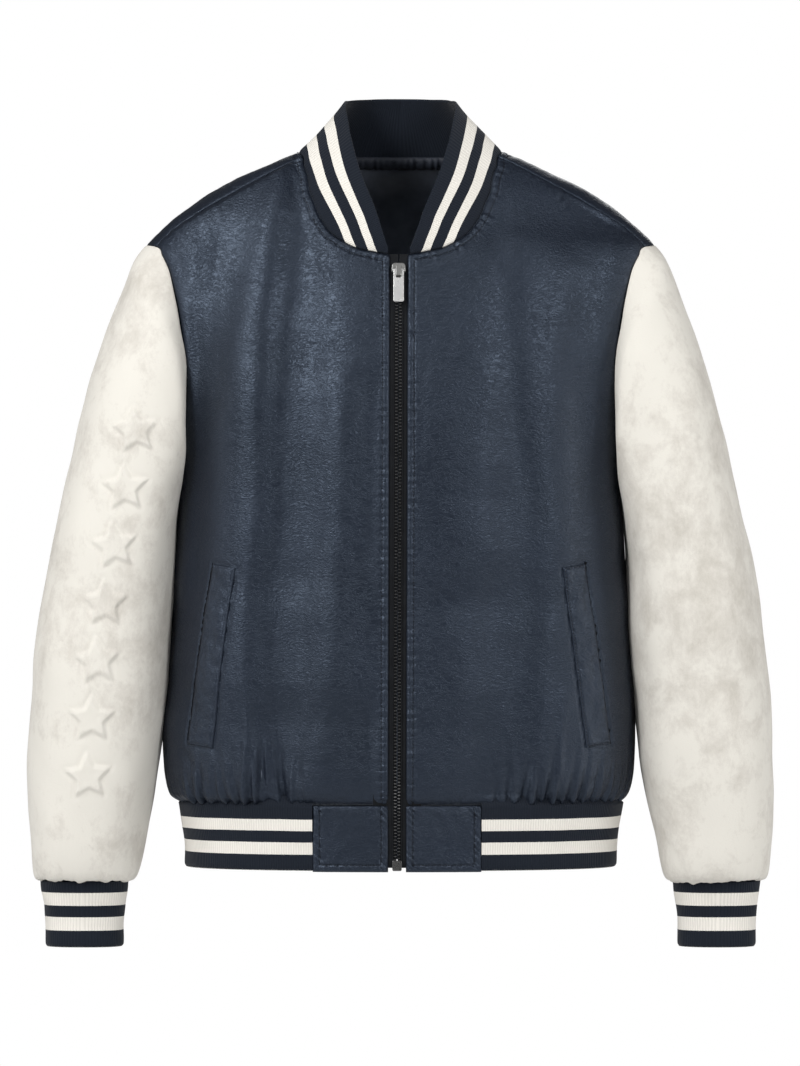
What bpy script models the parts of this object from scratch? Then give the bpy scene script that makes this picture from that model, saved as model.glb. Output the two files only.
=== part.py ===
"""Varsity jacket, zipped to the neck and filled out as it is when worn, with nobody in it.

The body, the hem, the sleeves and the cuffs are tubes worked out from tables of sections.
Each cut piece is a patch of one of these tubes, with its cloth's thickness on the inner side.
Metres, +Z up. The front faces -Y and the wearer's left is at +X. The origin lies midway
between the two points where the shoulder ridges meet the neck seam.
A turn is an angle round the body: 0 at centre front, 90 at the wearer's left, 180 at centre back.
"""
import math
from collections import namedtuple

import bmesh
import bpy
import numpy as np
from mathutils import Matrix, Vector

# Driving sizes
HEM_SEAM_Z = -0.619        # seam between the body and the hem rib
HEM_END_Z = -0.679         # lower edge of the hem rib
ARMPIT_Z = -0.3135
SHOULDER_TIP_Z = -0.0906   # where the armhole crosses the shoulder's ridge
SQUARENESS = 2.3           # 2 gives oval sections, more gives squarer ones

# Cloth
LEATHER = 0.0015
SUEDE = 0.0015
RIB = 0.0026
SATIN = 0.0010
TAPE = 0.0010
SEAM_GAP = 0.0004          # between two pieces that are sewn together
SLEEVE_GAP = 0.0006        # from a sleeve to the armhole and cuff seams, where it turns sharply
LAYER_GAP = 0.0004         # between two pieces that lie on each other

# The zip
ZIP_LEAN = (-0.0014, -0.0033)   # x of the zip's middle at the neck and at the hem
OPENING = 0.0083                # from the zip's middle to the fronts' edges
TAPE_REACH = 0.0225             # from the zip's middle to a tape's outer edge, under the front
CHAIN_HALF = 0.0040
CHAIN_PROUD = 0.0008            # the teeth stand this far out of the fronts' surface
CHAIN_TOP_Z = -0.1164
BOX_TOP_Z = -0.6700             # the box that stops the zip at the hem
BOX_END_Z = -0.6788
BOX_THICK = 0.0032
TAPE_END_Z = -0.6765
TAPE_GAP = 0.0007          # between the hem end panels and the tapes behind them
NECK_TAPE_THICK = 0.0022

Girth = namedtuple("Girth", "z half_width front back middle")
BODY = (  # sections of the body, from the hem up; the last two close it above the neck
    Girth(-0.6190, 0.2108, 0.1060, 0.1160, -0.0080),
    Girth(-0.6120, 0.2152, 0.1082, 0.1180, -0.0080),
    Girth(-0.5980, 0.2198, 0.1105, 0.1205, -0.0080),
    Girth(-0.5730, 0.2222, 0.1125, 0.1225, -0.0080),
    Girth(-0.5400, 0.2228, 0.1135, 0.1240, -0.0080),
    Girth(-0.4400, 0.2165, 0.1140, 0.1260, -0.0080),
    Girth(-0.3540, 0.2108, 0.1140, 0.1280, -0.0080),
    Girth(-0.3135, 0.2078, 0.1130, 0.1290, -0.0080),
    Girth(-0.2500, 0.2160, 0.1100, 0.1290, -0.0080),
    Girth(-0.2000, 0.2265, 0.1050, 0.1270, -0.0070),
    Girth(-0.1600, 0.2360, 0.0980, 0.1240, -0.0050),
    Girth(-0.1200, 0.2430, 0.0880, 0.1180, -0.0030),
    Girth(-0.0906, 0.2418, 0.0780, 0.1120, -0.0010),
    Girth(-0.0770, 0.2304, 0.0710, 0.1080, 0.0000),
    Girth(-0.0635, 0.2170, 0.0640, 0.1030, 0.0000),
    Girth(-0.0480, 0.1966, 0.0560, 0.0960, 0.0000),
    Girth(-0.0285, 0.1630, 0.0460, 0.0850, 0.0000),
    Girth(-0.0133, 0.1290, 0.0380, 0.0740, 0.0000),
    Girth(0.0000, 0.0936, 0.0310, 0.0640, 0.0000),
    Girth(0.0120, 0.0600, 0.0250, 0.0550, 0.0000),
    Girth(0.0300, 0.0020, 0.0160, 0.0400, 0.0000),
)
HEM = (  # sections of the hem rib, from its lower edge up
    Girth(-0.6790, 0.2043, 0.1020, 0.1120, -0.0080),
    Girth(-0.6600, 0.2050, 0.1028, 0.1128, -0.0080),
    Girth(-0.6400, 0.2075, 0.1042, 0.1142, -0.0080),
    Girth(-0.6190, 0.2108, 0.1060, 0.1160, -0.0080),
)
CUFF_X = 0.2993
CUFF = (  # sections of a cuff about x = CUFF_X, from its lower edge up
    Girth(-0.7545, 0.0370, 0.0290, 0.0290, -0.0160),
    Girth(-0.7285, 0.0372, 0.0292, 0.0292, -0.0160),
    Girth(-0.7170, 0.0384, 0.0300, 0.0300, -0.0160),
    Girth(-0.7058, 0.0400, 0.0318, 0.0318, -0.0160),
    Girth(-0.6932, 0.0412, 0.0334, 0.0334, -0.0160),
)

SeamPoint = namedtuple("SeamPoint", "along turn z")
NECK = (  # half of the neck seam, from the zip to centre back
    SeamPoint(0.000, 1.6, -0.1025),
    SeamPoint(0.050, 4.0, -0.1002),
    SeamPoint(0.110, 7.5, -0.0960),
    SeamPoint(0.150, 9.7, -0.0910),
    SeamPoint(0.210, 13.0, -0.0823),
    SeamPoint(0.285, 16.7, -0.0677),
    SeamPoint(0.375, 22.5, -0.0462),
    SeamPoint(0.475, 36.0, -0.0195),
    SeamPoint(0.530, 53.0, -0.0070),
    SeamPoint(0.590, 90.0, 0.0000),
    SeamPoint(0.720, 121.0, -0.0008),
    SeamPoint(0.860, 151.0, -0.0032),
    SeamPoint(1.000, 180.0, -0.0040),
)
EDGE_TOP_Z = -0.1030       # top of a front's edge beside the zip
NECK_SHOULDER = 0.530      # where the shoulder seam meets the neck seam, along NECK
SHOULDER = (  # shoulder seam, just in front of the ridge, from the neck to the armhole
    SeamPoint(0.00, 53.0, -0.0070),
    SeamPoint(0.25, 52.6, -0.0245),
    SeamPoint(0.50, 56.4, -0.0440),
    SeamPoint(0.75, 62.8, -0.0635),
    SeamPoint(0.88, 68.0, -0.0765),
    SeamPoint(1.00, 71.2, -0.0929),
)

ArmholePoint = namedtuple("ArmholePoint", "around front_turn back_turn")
ARMHOLE = (  # turns from the side to the armhole seam; around is 0 on the ridge, 180 at the armpit
    ArmholePoint(0, 0.0, 0.0),
    ArmholePoint(12, 18.8, 13.0),
    ArmholePoint(27, 25.0, 19.5),
    ArmholePoint(45, 29.0, 24.0),
    ArmholePoint(68, 30.0, 26.5),
    ArmholePoint(90, 28.0, 25.5),
    ArmholePoint(115, 21.5, 20.5),
    ArmholePoint(140, 12.0, 12.5),
    ArmholePoint(160, 5.5, 6.0),
    ArmholePoint(180, 0.0, 0.0),
)
TIP_AROUND = 12.0          # where the shoulder seam meets the armhole, in front of the ridge
BLADE_AROUND = 45.0        # above this level the back is laid over the shoulder on rays
SIDE_TURN = 90.0

Section = namedtuple("Section", "outer_x outer_z inner_x inner_z half_depth middle bow")
SLEEVE = (  # sections of a sleeve below the armhole; bow pulls its front and back to the body
    Section(0.2525, -0.1060, 0.2098, -0.3290, 0.0720, -0.0060, 0.0230),
    Section(0.2640, -0.1330, 0.2118, -0.3430, 0.0765, -0.0080, 0.0200),
    Section(0.2780, -0.1720, 0.2140, -0.3600, 0.0790, -0.0095, 0.0140),
    Section(0.2935, -0.2200, 0.2158, -0.3810, 0.0800, -0.0110, 0.0070),
    Section(0.3090, -0.2780, 0.2174, -0.4080, 0.0790, -0.0125, 0.0020),
    Section(0.3230, -0.3410, 0.2192, -0.4400, 0.0770, -0.0140, 0.0000),
    Section(0.3360, -0.4090, 0.2216, -0.4810, 0.0745, -0.0150, 0.0000),
    Section(0.3450, -0.4750, 0.2240, -0.5230, 0.0720, -0.0160, 0.0000),
    Section(0.3508, -0.5350, 0.2262, -0.5640, 0.0690, -0.0160, 0.0000),
    Section(0.3532, -0.5920, 0.2320, -0.6060, 0.0645, -0.0160, 0.0000),
    Section(0.3522, -0.6400, 0.2402, -0.6460, 0.0580, -0.0160, 0.0000),
    Section(0.3494, -0.6740, 0.2462, -0.6760, 0.0510, -0.0160, 0.0000),
    Section(0.3466, -0.6890, 0.2510, -0.6895, 0.0440, -0.0160, 0.0000),
    Section(0.3410, -0.6932, 0.2576, -0.6932, 0.0340, -0.0160, 0.0000),
)

EdgePoint = namedtuple("EdgePoint", "along x y z")
COLLAR_EDGE = (  # half of the collar's free edge; along is the neck seam's own measure
    EdgePoint(0.000, 0.0100, -0.0850, -0.0965),
    EdgePoint(0.050, 0.0120, -0.0860, -0.0925),
    EdgePoint(0.110, 0.0158, -0.0860, -0.0815),
    EdgePoint(0.150, 0.0182, -0.0850, -0.0745),
    EdgePoint(0.210, 0.0222, -0.0830, -0.0620),
    EdgePoint(0.285, 0.0292, -0.0790, -0.0450),
    EdgePoint(0.375, 0.0385, -0.0690, -0.0215),
    EdgePoint(0.475, 0.0478, -0.0460, 0.0130),
    EdgePoint(0.530, 0.0513, -0.0270, 0.0305),
    EdgePoint(0.590, 0.0530, -0.0080, 0.0425),
    EdgePoint(0.720, 0.0478, 0.0230, 0.0490),
    EdgePoint(0.860, 0.0275, 0.0460, 0.0515),
    EdgePoint(1.000, 0.0000, 0.0540, 0.0520),
)

Corner = namedtuple("Corner", "x z")
WELT = (  # a pocket welt's corners: top inner, top outer, bottom outer, bottom inner
    Corner(0.1520, -0.3965),
    Corner(0.1743, -0.3930),
    Corner(0.1975, -0.5615),
    Corner(0.1742, -0.5655),
)
TAB_REACH = 0.0790         # from the zip's middle to the outer edge of a hem end panel
TAB_END_Z = -0.6805        # the end panels are a little longer than the rib

# Mesh stations
STEP = 1e-5                # share of a surface, or metres, over which its slope is measured
LEAST_ROW = 0.004          # no two rows of the zip are nearer than this
LEAST_SLANT = 0.4          # sine of the sharpest angle at which a line is taken to meet an edge
SIDE_ROWS = 6              # from the hem to the armpit
NECK_COLUMNS = 8           # of a front, under the neck seam
SHOULDER_COLUMNS = 4       # of a front and of half of the back, under the shoulder seam
BACK_NECK_COLUMNS = 6      # of half of the back, under the neck seam
PIT_V = 0.52               # height of the armpit on a front or the back, as a share of its rows
BLADE_V = 0.82             # height where the back starts over the shoulder
RIDGE_V = 0.965            # height of the shoulder's ridge at the armhole, on the back
NECK_TAPE_U = 0.34         # reach of the neck tape on either side of centre back
NECK_TAPE_V = 0.987        # its lower edge
NECK_U = 0.52              # share of a front's width that lies under the neck seam
BACK_NECK_U = 0.50
ARM_TURNS = np.arange(180.0, BLADE_AROUND - 1, -15.0)     # armhole stations up to the blade
BACK_TIP_TURNS = np.array([30.0, 15.0, 0.0, -TIP_AROUND])
FRONT_TIP_TURNS = np.array([28.0, TIP_AROUND])

# The slider and its tab, in their own frame: z up along the zip, y into the jacket
SLIDER_Z = -0.1129         # the slider's upper end
SLIDER_LONG = 0.0125
SLIDER_HALF = 0.0062
PLATE = (-0.0036, -0.0012)      # front and back of the slider's plate, from the fronts' surface
FLANGE = (0.0047, 0.0008)       # inner x of the flanges beside the chain, and their back
FLANGE_TOP = -0.0020
BRIDGE_Z = -0.0068              # the hole under the bridge, where the tab is held
BRIDGE_HALF = 0.0021
BRIDGE_RISE = 0.0038            # out of the plate
BRIDGE_BAR = 0.0012
BRIDGE_FOOT = 0.0010            # how far each foot is longer than the bar is thick
SUNK = 0.0004                   # how far one block reaches into another that it is joined to
TAB_LONG = 0.0326
TAB_HALF = 0.0050
TAB_THICK = 0.0016
TAB_BAR = 0.0013                # the tab's end bar, held under the bridge
TAB_SLOT = (0.0027, 0.0080)     # half width and length of its slot
TAB_CLEAR = 0.0004
CURL = 0.0025                   # radius of the tab's lower corners
CURL_STEPS = 4

COLOURS = {  # linear red, green and blue, roughness, metallic
    "navy_leather": ((0.020, 0.027, 0.043), 0.45, 0.0),
    "white_suede": ((0.76, 0.73, 0.68), 0.90, 0.0),
    "rib_knit": ((0.016, 0.020, 0.034), 0.90, 0.0),
    "black_satin": ((0.009, 0.010, 0.013), 0.45, 0.0),
    "zip_tape": ((0.012, 0.012, 0.014), 0.85, 0.0),
    "zip_metal": ((0.045, 0.045, 0.048), 0.40, 1.0),
    "bright_metal": ((0.75, 0.75, 0.76), 0.22, 1.0),
}


# Curves and surfaces --------------------------------------------------------------------

def column(table, name):
    return np.array([getattr(row, name) for row in table], dtype=float)


def smooth(table, name, at, key):
    """A column of a table, read on a smooth curve through its rows."""
    keys, values = column(table, key), column(table, name)
    slopes = np.gradient(values, keys)
    row = np.clip(np.searchsorted(keys, at) - 1, 0, len(keys) - 2)
    span = keys[row + 1] - keys[row]
    t = np.clip((at - keys[row]) / span, 0.0, 1.0)
    start = values[row] * (1 + 2 * t) * (1 - t) ** 2 + slopes[row] * span * t * (1 - t) ** 2
    end = values[row + 1] * (3 - 2 * t) * t ** 2 + slopes[row + 1] * span * (t - 1) * t ** 2
    return start + end


def bulge(cosine):
    """Turn a sine or cosine into its place on a squarish section."""
    return np.sign(cosine) * np.abs(cosine) ** (2 / SQUARENESS)


def ring_point(table, turn, z):
    """Points on a tube of oval sections, at turns round it and at heights."""
    turn, z = np.broadcast_arrays(np.asarray(turn, float), np.asarray(z, float))
    angle = np.radians(turn)
    across, ahead = bulge(np.sin(angle)), bulge(np.cos(angle))
    depth = np.where(ahead > 0, smooth(table, "front", z, "z"), smooth(table, "back", z, "z"))
    x = smooth(table, "half_width", z, "z") * across
    y = smooth(table, "middle", z, "z") - depth * ahead
    return np.stack([x, y, z], axis=-1)


def turn_at(table, x, z):
    """The turn, from centre front, of the point at a distance x on the front side."""
    share = np.clip(np.abs(x) / smooth(table, "half_width", z, "z"), 0.0, 1.0)
    return np.degrees(np.arcsin(share ** (SQUARENESS / 2))) * np.sign(x)


def front_point(x, z):
    """Points on the front of the body, or of the hem below it."""
    x, z = np.broadcast_arrays(np.asarray(x, float), np.asarray(z, float))
    body = ring_point(BODY, turn_at(BODY, x, np.maximum(z, HEM_SEAM_Z)), z)
    hem = ring_point(HEM, turn_at(HEM, x, np.minimum(z, HEM_SEAM_Z)), z)
    return np.where((z > HEM_SEAM_Z)[..., None], body, hem)


def armhole_point(around):
    """Points of the armhole seam: around is 0 on the ridge, positive in front, 180 at the armpit."""
    around = np.asarray(around, float)
    level = np.cos(np.radians(around))
    z = (SHOULDER_TIP_Z + ARMPIT_Z) / 2 + level * (SHOULDER_TIP_Z - ARMPIT_Z) / 2
    front = 90 - smooth(ARMHOLE, "front_turn", np.abs(around), "around")
    back = 90 + smooth(ARMHOLE, "back_turn", np.abs(around), "around")
    return ring_point(BODY, np.where(around > 0, front, back), z)


BLADE_Y = 0.0              # the axis that the rays over the shoulder rise from
BLADE_Z = float(armhole_point(-BLADE_AROUND)[2])


def direction(vectors):
    return vectors / np.linalg.norm(vectors, axis=-1, keepdims=True)


def swell(points):
    """How far points lie out of the body, or of the hem below it: 0 on the surface."""
    x, y, z = np.moveaxis(points, -1, 0)
    levels = []
    for table in (BODY, HEM):
        ahead = y - smooth(table, "middle", z, "z")
        depth = np.where(ahead < 0, smooth(table, "front", z, "z"), smooth(table, "back", z, "z"))
        share = np.abs(x / smooth(table, "half_width", z, "z"))
        levels.append(share ** SQUARENESS + np.abs(ahead / depth) ** SQUARENESS - 1)
    return np.where(z > HEM_SEAM_Z, *levels)


def body_normal(points):
    steps = np.eye(3) * STEP
    slopes = [swell(points + step) - swell(points - step) for step in steps]
    return direction(np.stack(slopes, axis=-1))


def over_shoulder(x, rise):
    """Points of the body at a distance x, on rays that rise from the blade's level: 0 is back."""
    angle = np.radians(rise)
    near, far = np.zeros_like(angle), np.full_like(angle, 0.30)
    for _ in range(40):
        reach = (near + far) / 2
        y, z = BLADE_Y + reach * np.cos(angle), BLADE_Z + reach * np.sin(angle)
        points = np.stack([x + 0 * angle, y, z], axis=-1)
        outside = swell(points) > 0
        far = np.where(outside, reach, far)
        near = np.where(outside, near, reach)
    return points


def rise_of(points):
    """Distance x and rise of points, as over_shoulder takes them."""
    rise = np.degrees(np.arctan2(points[..., 2] - BLADE_Z, points[..., 1] - BLADE_Y))
    return np.stack([points[..., 0], rise], axis=-1)


def coons(bottom, top, left, right, u, v):
    """Fill four edges with a smooth net; each edge is a function of its own share 0 to 1."""
    share_u, share_v = u[..., None], v[..., None]
    zero, one = np.zeros_like(u), np.ones_like(u)
    across = (1 - share_u) * left(v) + share_u * right(v)
    along = (1 - share_v) * bottom(u) + share_v * top(u)
    corners = ((1 - share_u) * (1 - share_v) * bottom(zero) + share_u * (1 - share_v) * bottom(one)
               + (1 - share_u) * share_v * top(zero) + share_u * share_v * top(one))
    return across + along - corners


def seam_pair(table, along):
    return np.stack([smooth(table, "turn", along, "along"), smooth(table, "z", along, "along")], -1)


def zip_middle(z):
    share = np.clip(z / HEM_SEAM_Z, 0, 1)
    return ZIP_LEAN[0] + (ZIP_LEAN[1] - ZIP_LEAN[0]) * share


# Patches of cloth -----------------------------------------------------------------------

def neck_pair(side, share):
    """Turn and height of one side's neck seam, which leans with the zip towards the front."""
    turn, z = np.moveaxis(seam_pair(NECK, share), -1, 0)
    lean = side * ZIP_LEAN[0] * np.clip(1 - share / NECK_SHOULDER, 0, 1)
    leaning = turn_at(BODY, ring_point(BODY, turn, z)[..., 0] + lean, z)
    return np.stack([np.where(share < NECK_SHOULDER, leaning, turn), z], -1)


def front_top(side, u):
    """Turn and height of a front's top edge: the neck seam, then the shoulder seam."""
    under_neck = neck_pair(side, np.clip(u / NECK_U, 0, 1) * NECK_SHOULDER)
    under_seam = seam_pair(SHOULDER, np.clip((u - NECK_U) / (1 - NECK_U), 0, 1))
    return np.where((u < NECK_U)[..., None], under_neck, under_seam)


def front_side(v):
    """Turn and height of a front's outer edge: the side seam, then the armhole."""
    side_z = HEM_SEAM_Z + (ARMPIT_Z - HEM_SEAM_Z) * np.clip(v / PIT_V, 0, 1)
    share = np.clip((v - PIT_V) / (1 - PIT_V), 0, 1)
    around = 180 - (180 - TIP_AROUND) * share
    turn = SIDE_TURN - smooth(ARMHOLE, "front_turn", around, "around")
    z = np.where(v < PIT_V, side_z, armhole_point(around)[..., 2])
    return np.stack([turn, z], -1)


def front_surface(side, u, v):
    """A front: u from the zip to the side, v from the hem to the neck and shoulder seams."""
    def edge(v):
        z = HEM_SEAM_Z + (EDGE_TOP_Z - HEM_SEAM_Z) * v
        return np.stack([turn_at(BODY, OPENING + side * zip_middle(z), z), z], -1)

    def hem(u):
        turn = edge(np.zeros_like(u))[..., 0] * (1 - u) + SIDE_TURN * u
        return np.stack([turn, np.full_like(u, HEM_SEAM_Z)], -1)

    def top(u):
        to_edge = edge(np.ones_like(u)) - front_top(side, np.zeros_like(u))
        first_column = np.clip(1 - u * NECK_COLUMNS / NECK_U, 0, 1)[..., None]
        return front_top(side, u) + to_edge * first_column

    place = coons(hem, top, edge, front_side, u, v)
    points = ring_point(BODY, place[..., 0], place[..., 1])
    points[..., 0] *= side
    return points


def back_surface(u, v):
    """The back: u from -1 at the wearer's right to 1 at the left, v from the hem up and over."""
    side, u = np.where(u < 0, -1.0, 1.0), np.abs(u)
    side_z = HEM_SEAM_Z + (ARMPIT_Z - HEM_SEAM_Z) * np.clip(v / PIT_V, 0, 1)
    around = 180 - (180 - BLADE_AROUND) * np.clip((v - PIT_V) / (BLADE_V - PIT_V), 0, 1)
    edge_turn = SIDE_TURN + smooth(ARMHOLE, "back_turn", around, "around")
    z = np.where(v < PIT_V, side_z, armhole_point(-around)[..., 2])
    lower = ring_point(BODY, 180 + (edge_turn - 180) * u, z)

    blade_turn = SIDE_TURN + float(smooth(ARMHOLE, "back_turn", BLADE_AROUND, "around"))

    def bottom(u):
        return rise_of(ring_point(BODY, 180 + (blade_turn - 180) * u, BLADE_Z))

    def centre(w):
        return np.stack([0 * w, w * rise_of(ring_point(BODY, 180.0, NECK[-1].z))[1]], -1)

    def armhole(w):
        share = w * (1 - BLADE_V)
        to_ridge = np.clip(share / (RIDGE_V - BLADE_V), 0, 1) * BLADE_AROUND - BLADE_AROUND
        past = np.clip((share - (RIDGE_V - BLADE_V)) / (1 - RIDGE_V), 0, 1) * TIP_AROUND
        return rise_of(armhole_point(to_ridge + past))

    def top(u):
        neck = seam_pair(NECK, 1 - np.clip(u / BACK_NECK_U, 0, 1) * (1 - NECK_SHOULDER))
        seam = seam_pair(SHOULDER, np.clip((u - BACK_NECK_U) / (1 - BACK_NECK_U), 0, 1))
        pair = np.where((u < BACK_NECK_U)[..., None], neck, seam)
        return rise_of(ring_point(BODY, pair[..., 0], pair[..., 1]))

    w = np.clip((v - BLADE_V) / (1 - BLADE_V), 0, 1)
    place = coons(bottom, top, centre, armhole, u, w)
    upper = over_shoulder(place[..., 0], place[..., 1])
    points = np.where((v <= BLADE_V)[..., None], lower, upper)
    points[..., 0] *= side
    return points


def sleeve_section(section, around):
    """Points of one sleeve section; around is 0 at its outer side and 90 in front."""
    angle = np.radians(around)
    reach, ahead = bulge(np.cos(angle)), bulge(np.sin(angle))
    x = (section.outer_x + section.inner_x) / 2 + reach * (section.outer_x - section.inner_x) / 2
    z = (section.outer_z + section.inner_z) / 2 + reach * (section.outer_z - section.inner_z) / 2
    x = x - section.bow * np.sin(angle) ** 2
    return np.stack([x, section.middle - section.half_depth * ahead, z], axis=-1)


def sleeve_surface(side, around, along):
    """A sleeve: along is 0 at the armhole seam and 1 at the cuff seam."""
    sections = [armhole_point(around)] + [sleeve_section(section, around) for section in SLEEVE]
    sections = np.stack(sections)
    slopes = np.gradient(sections, axis=0)
    place = np.clip(along * len(SLEEVE), 0, len(SLEEVE))
    row = np.minimum(place.astype(int), len(SLEEVE) - 1)
    t = (place - row)[..., None]
    pick = (row,) + tuple(np.indices(row.shape))
    after = (row + 1,) + tuple(np.indices(row.shape))
    points = (sections[pick] * (1 + 2 * t) * (1 - t) ** 2 + slopes[pick] * t * (1 - t) ** 2
              + sections[after] * (3 - 2 * t) * t ** 2 + slopes[after] * (t - 1) * t ** 2)
    points[..., 0] *= side
    return points


def neck_point(along):
    """Points of the whole neck seam: along from -1 at the zip's right, by 0 at the back, to 1."""
    side = np.where(along < 0, -1.0, 1.0)
    pair = neck_pair(side, 1 - np.abs(along))
    points = ring_point(BODY, pair[..., 0], pair[..., 1])
    points[..., 0] *= side
    return points


def collar_edge_point(along):
    share = 1 - np.abs(along)
    x, y, z = (smooth(COLLAR_EDGE, name, share, "along") for name in "xyz")
    x = x * np.where(along < 0, -1.0, 1.0) + ZIP_LEAN[0] * np.clip(1 - share / NECK_SHOULDER, 0, 1)
    return np.stack([x, y, z], axis=-1)


def collar_surface(along, up):
    """The collar: up is 0 at the neck seam and 1 at the free edge."""
    share = np.asarray(up)[..., None]
    return neck_point(along) * (1 - share) + collar_edge_point(along) * share


# Meshes ---------------------------------------------------------------------------------

def material(slot):
    made = bpy.data.materials.get(slot)
    if made:
        return made
    made = bpy.data.materials.new(slot)
    made.use_nodes = True
    colour, roughness, metallic = COLOURS[slot]
    shader = made.node_tree.nodes["Principled BSDF"]
    shader.inputs["Base Color"].default_value = (*colour, 1.0)
    shader.inputs["Roughness"].default_value = roughness
    shader.inputs["Metallic"].default_value = metallic
    made.diffuse_color = (*colour, 1.0)
    return made


def add_object(name, mesh, slot):
    mesh.materials.append(material(slot))
    made = bpy.data.objects.new(name, mesh)
    bpy.context.collection.objects.link(made)
    return made


def outward(surface, u, v, closed):
    """Unit normals of a surface; its columns run to the right and its rows up, seen from outside."""
    reach = np.inf if closed else 0.0
    step = STEP * np.ptp(u)
    right, left = np.minimum(u + step, u.max() + reach), np.maximum(u - step, u.min() - reach)
    step = STEP * np.ptp(v)
    above, below = np.minimum(v + step, v.max()), np.maximum(v - step, v.min())
    along = direction(surface(right, v) - surface(left, v))
    return direction(np.cross(along, direction(surface(u, above) - surface(u, below))))


def inset(grid, gap, closed):
    """Draw a grid's free edges in along its own lines, by a gap measured square to the edge."""
    grid = grid.copy()
    edges = [(grid[0], grid[1]), (grid[-1], grid[-2])]
    if not closed:
        edges += [(grid[:, 0], grid[:, 1]), (grid[:, -1], grid[:, -2])]
    for edge, inner in edges:
        inward = direction(inner - edge)
        slant = np.cross(inward, direction(np.gradient(edge, axis=0)))
        edge += inward * gap / np.maximum(np.linalg.norm(slant, axis=1), LEAST_SLANT)[:, None]
    return grid


def wall_faces(outer, inner, closed):
    """Triangles of a wall: its outer grid, its inner grid and the rims between them.

    Each four-sided cell is split along its shorter diagonal, so pieces that share a seam are
    split alike there.
    """
    rows, columns = outer.shape[:2]
    points = np.concatenate([outer.reshape(-1, 3), inner.reshape(-1, 3)])

    def shorter(a, b, c, d):
        return np.linalg.norm(points[a] - points[b]) <= np.linalg.norm(points[c] - points[d])

    index = np.arange(rows * columns).reshape(rows, columns)
    if closed:
        index = np.concatenate([index, index[:, :1]], axis=1)
    shift = rows * columns
    faces = []
    for low, high in zip(index[:-1], index[1:]):
        for a, b, c, d in zip(low[:-1], low[1:], high[1:], high[:-1]):
            halves = [(a, b, c), (a, c, d)] if shorter(a, c, b, d) else [(a, b, d), (b, c, d)]
            faces += halves
            faces += [(shift + i, shift + k, shift + j) for i, j, k in halves]
    rims = [index[0][::-1], index[-1]]
    if not closed:
        rims += [index[:, 0], index[:, -1][::-1]]
    for rim in rims:
        for a, b in zip(rim[:-1], rim[1:]):
            if shorter(a, shift + b, b, shift + a):
                faces += [(a, b, shift + b), (a, shift + b, shift + a)]
            else:
                faces += [(a, b, shift + a), (b, shift + b, shift + a)]
    return points.tolist(), [tuple(int(corner) for corner in face) for face in faces]


def cloth(name, surface, across, up, thickness, slot, closed=False, lift=0.0, gap=SEAM_GAP / 2,
          on_body=False):
    """A wall of cloth on a surface, at stations across and up it, with its thickness inside.

    Lift moves the wall out from the surface, and gap draws its edges in.
    """
    u, v = np.meshgrid(across, up)
    points = surface(u, v)
    normal = body_normal(points) if on_body else outward(surface, u, v, closed)
    outer = inset(points, gap, closed) + normal * lift
    inner = outer - normal * thickness
    mesh = bpy.data.meshes.new(name)
    points, faces = wall_faces(outer, inner, closed)
    mesh.from_pydata(points, [], faces)
    mesh.shade_smooth()
    mesh.set_sharp_from_angle(angle=math.radians(50))
    return add_object(name, mesh, slot)


def stations(start, end, count):
    return np.linspace(start, end, count + 1)


SIDES = (("left", 1), ("right", -1))     # the wearer's left is at +X


def front_rows():
    around = np.concatenate([ARM_TURNS, FRONT_TIP_TURNS])
    arm = PIT_V + (180 - around) / (180 - TIP_AROUND) * (1 - PIT_V)
    return np.concatenate([stations(0, PIT_V, SIDE_ROWS)[:-1], arm])


def build_fronts():
    across = np.concatenate([stations(0, NECK_U, NECK_COLUMNS),
                             stations(NECK_U, 1, SHOULDER_COLUMNS)[1:]])
    for name, side in SIDES:
        def surface(u, v):
            return front_surface(side, u * side, v)

        cloth("front_" + name, surface, np.sort(across * side), front_rows(), LEATHER, "navy_leather",
              on_body=True)


def build_back():
    half = np.concatenate([stations(0, BACK_NECK_U, BACK_NECK_COLUMNS),
                           stations(BACK_NECK_U, 1, SHOULDER_COLUMNS)[1:]])
    across = np.concatenate([-half[::-1], half[1:]])
    blade = (180 - ARM_TURNS) / (180 - BLADE_AROUND) * (BLADE_V - PIT_V) + PIT_V
    ridge = BLADE_V + (BLADE_AROUND - BACK_TIP_TURNS[:-1]) / BLADE_AROUND * (RIDGE_V - BLADE_V)
    up = np.concatenate([stations(0, PIT_V, SIDE_ROWS)[:-1], blade, ridge, [1.0]])

    def surface(u, v):
        return back_surface(-u, v)

    def last_row(u, v):
        share = ((v - RIDGE_V) / (1 - RIDGE_V))[..., None]
        return surface(u, np.full_like(u, RIDGE_V)) * (1 - share) + surface(u, np.ones_like(u)) * share

    inside = -LEATHER - LAYER_GAP
    under_neck = across[np.abs(across) < NECK_TAPE_U]
    upper = up > PIT_V - STEP
    cloth("back", surface, across, up, LEATHER, "navy_leather", on_body=True)
    cloth("back_lining", surface, across[1:-1], up[upper][:-1], SATIN, "black_satin", lift=inside,
          on_body=True)
    cloth("neck_tape", last_row, under_neck, np.array([NECK_TAPE_V, 1.0]), NECK_TAPE_THICK,
          "black_satin", lift=inside, on_body=True)


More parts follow.
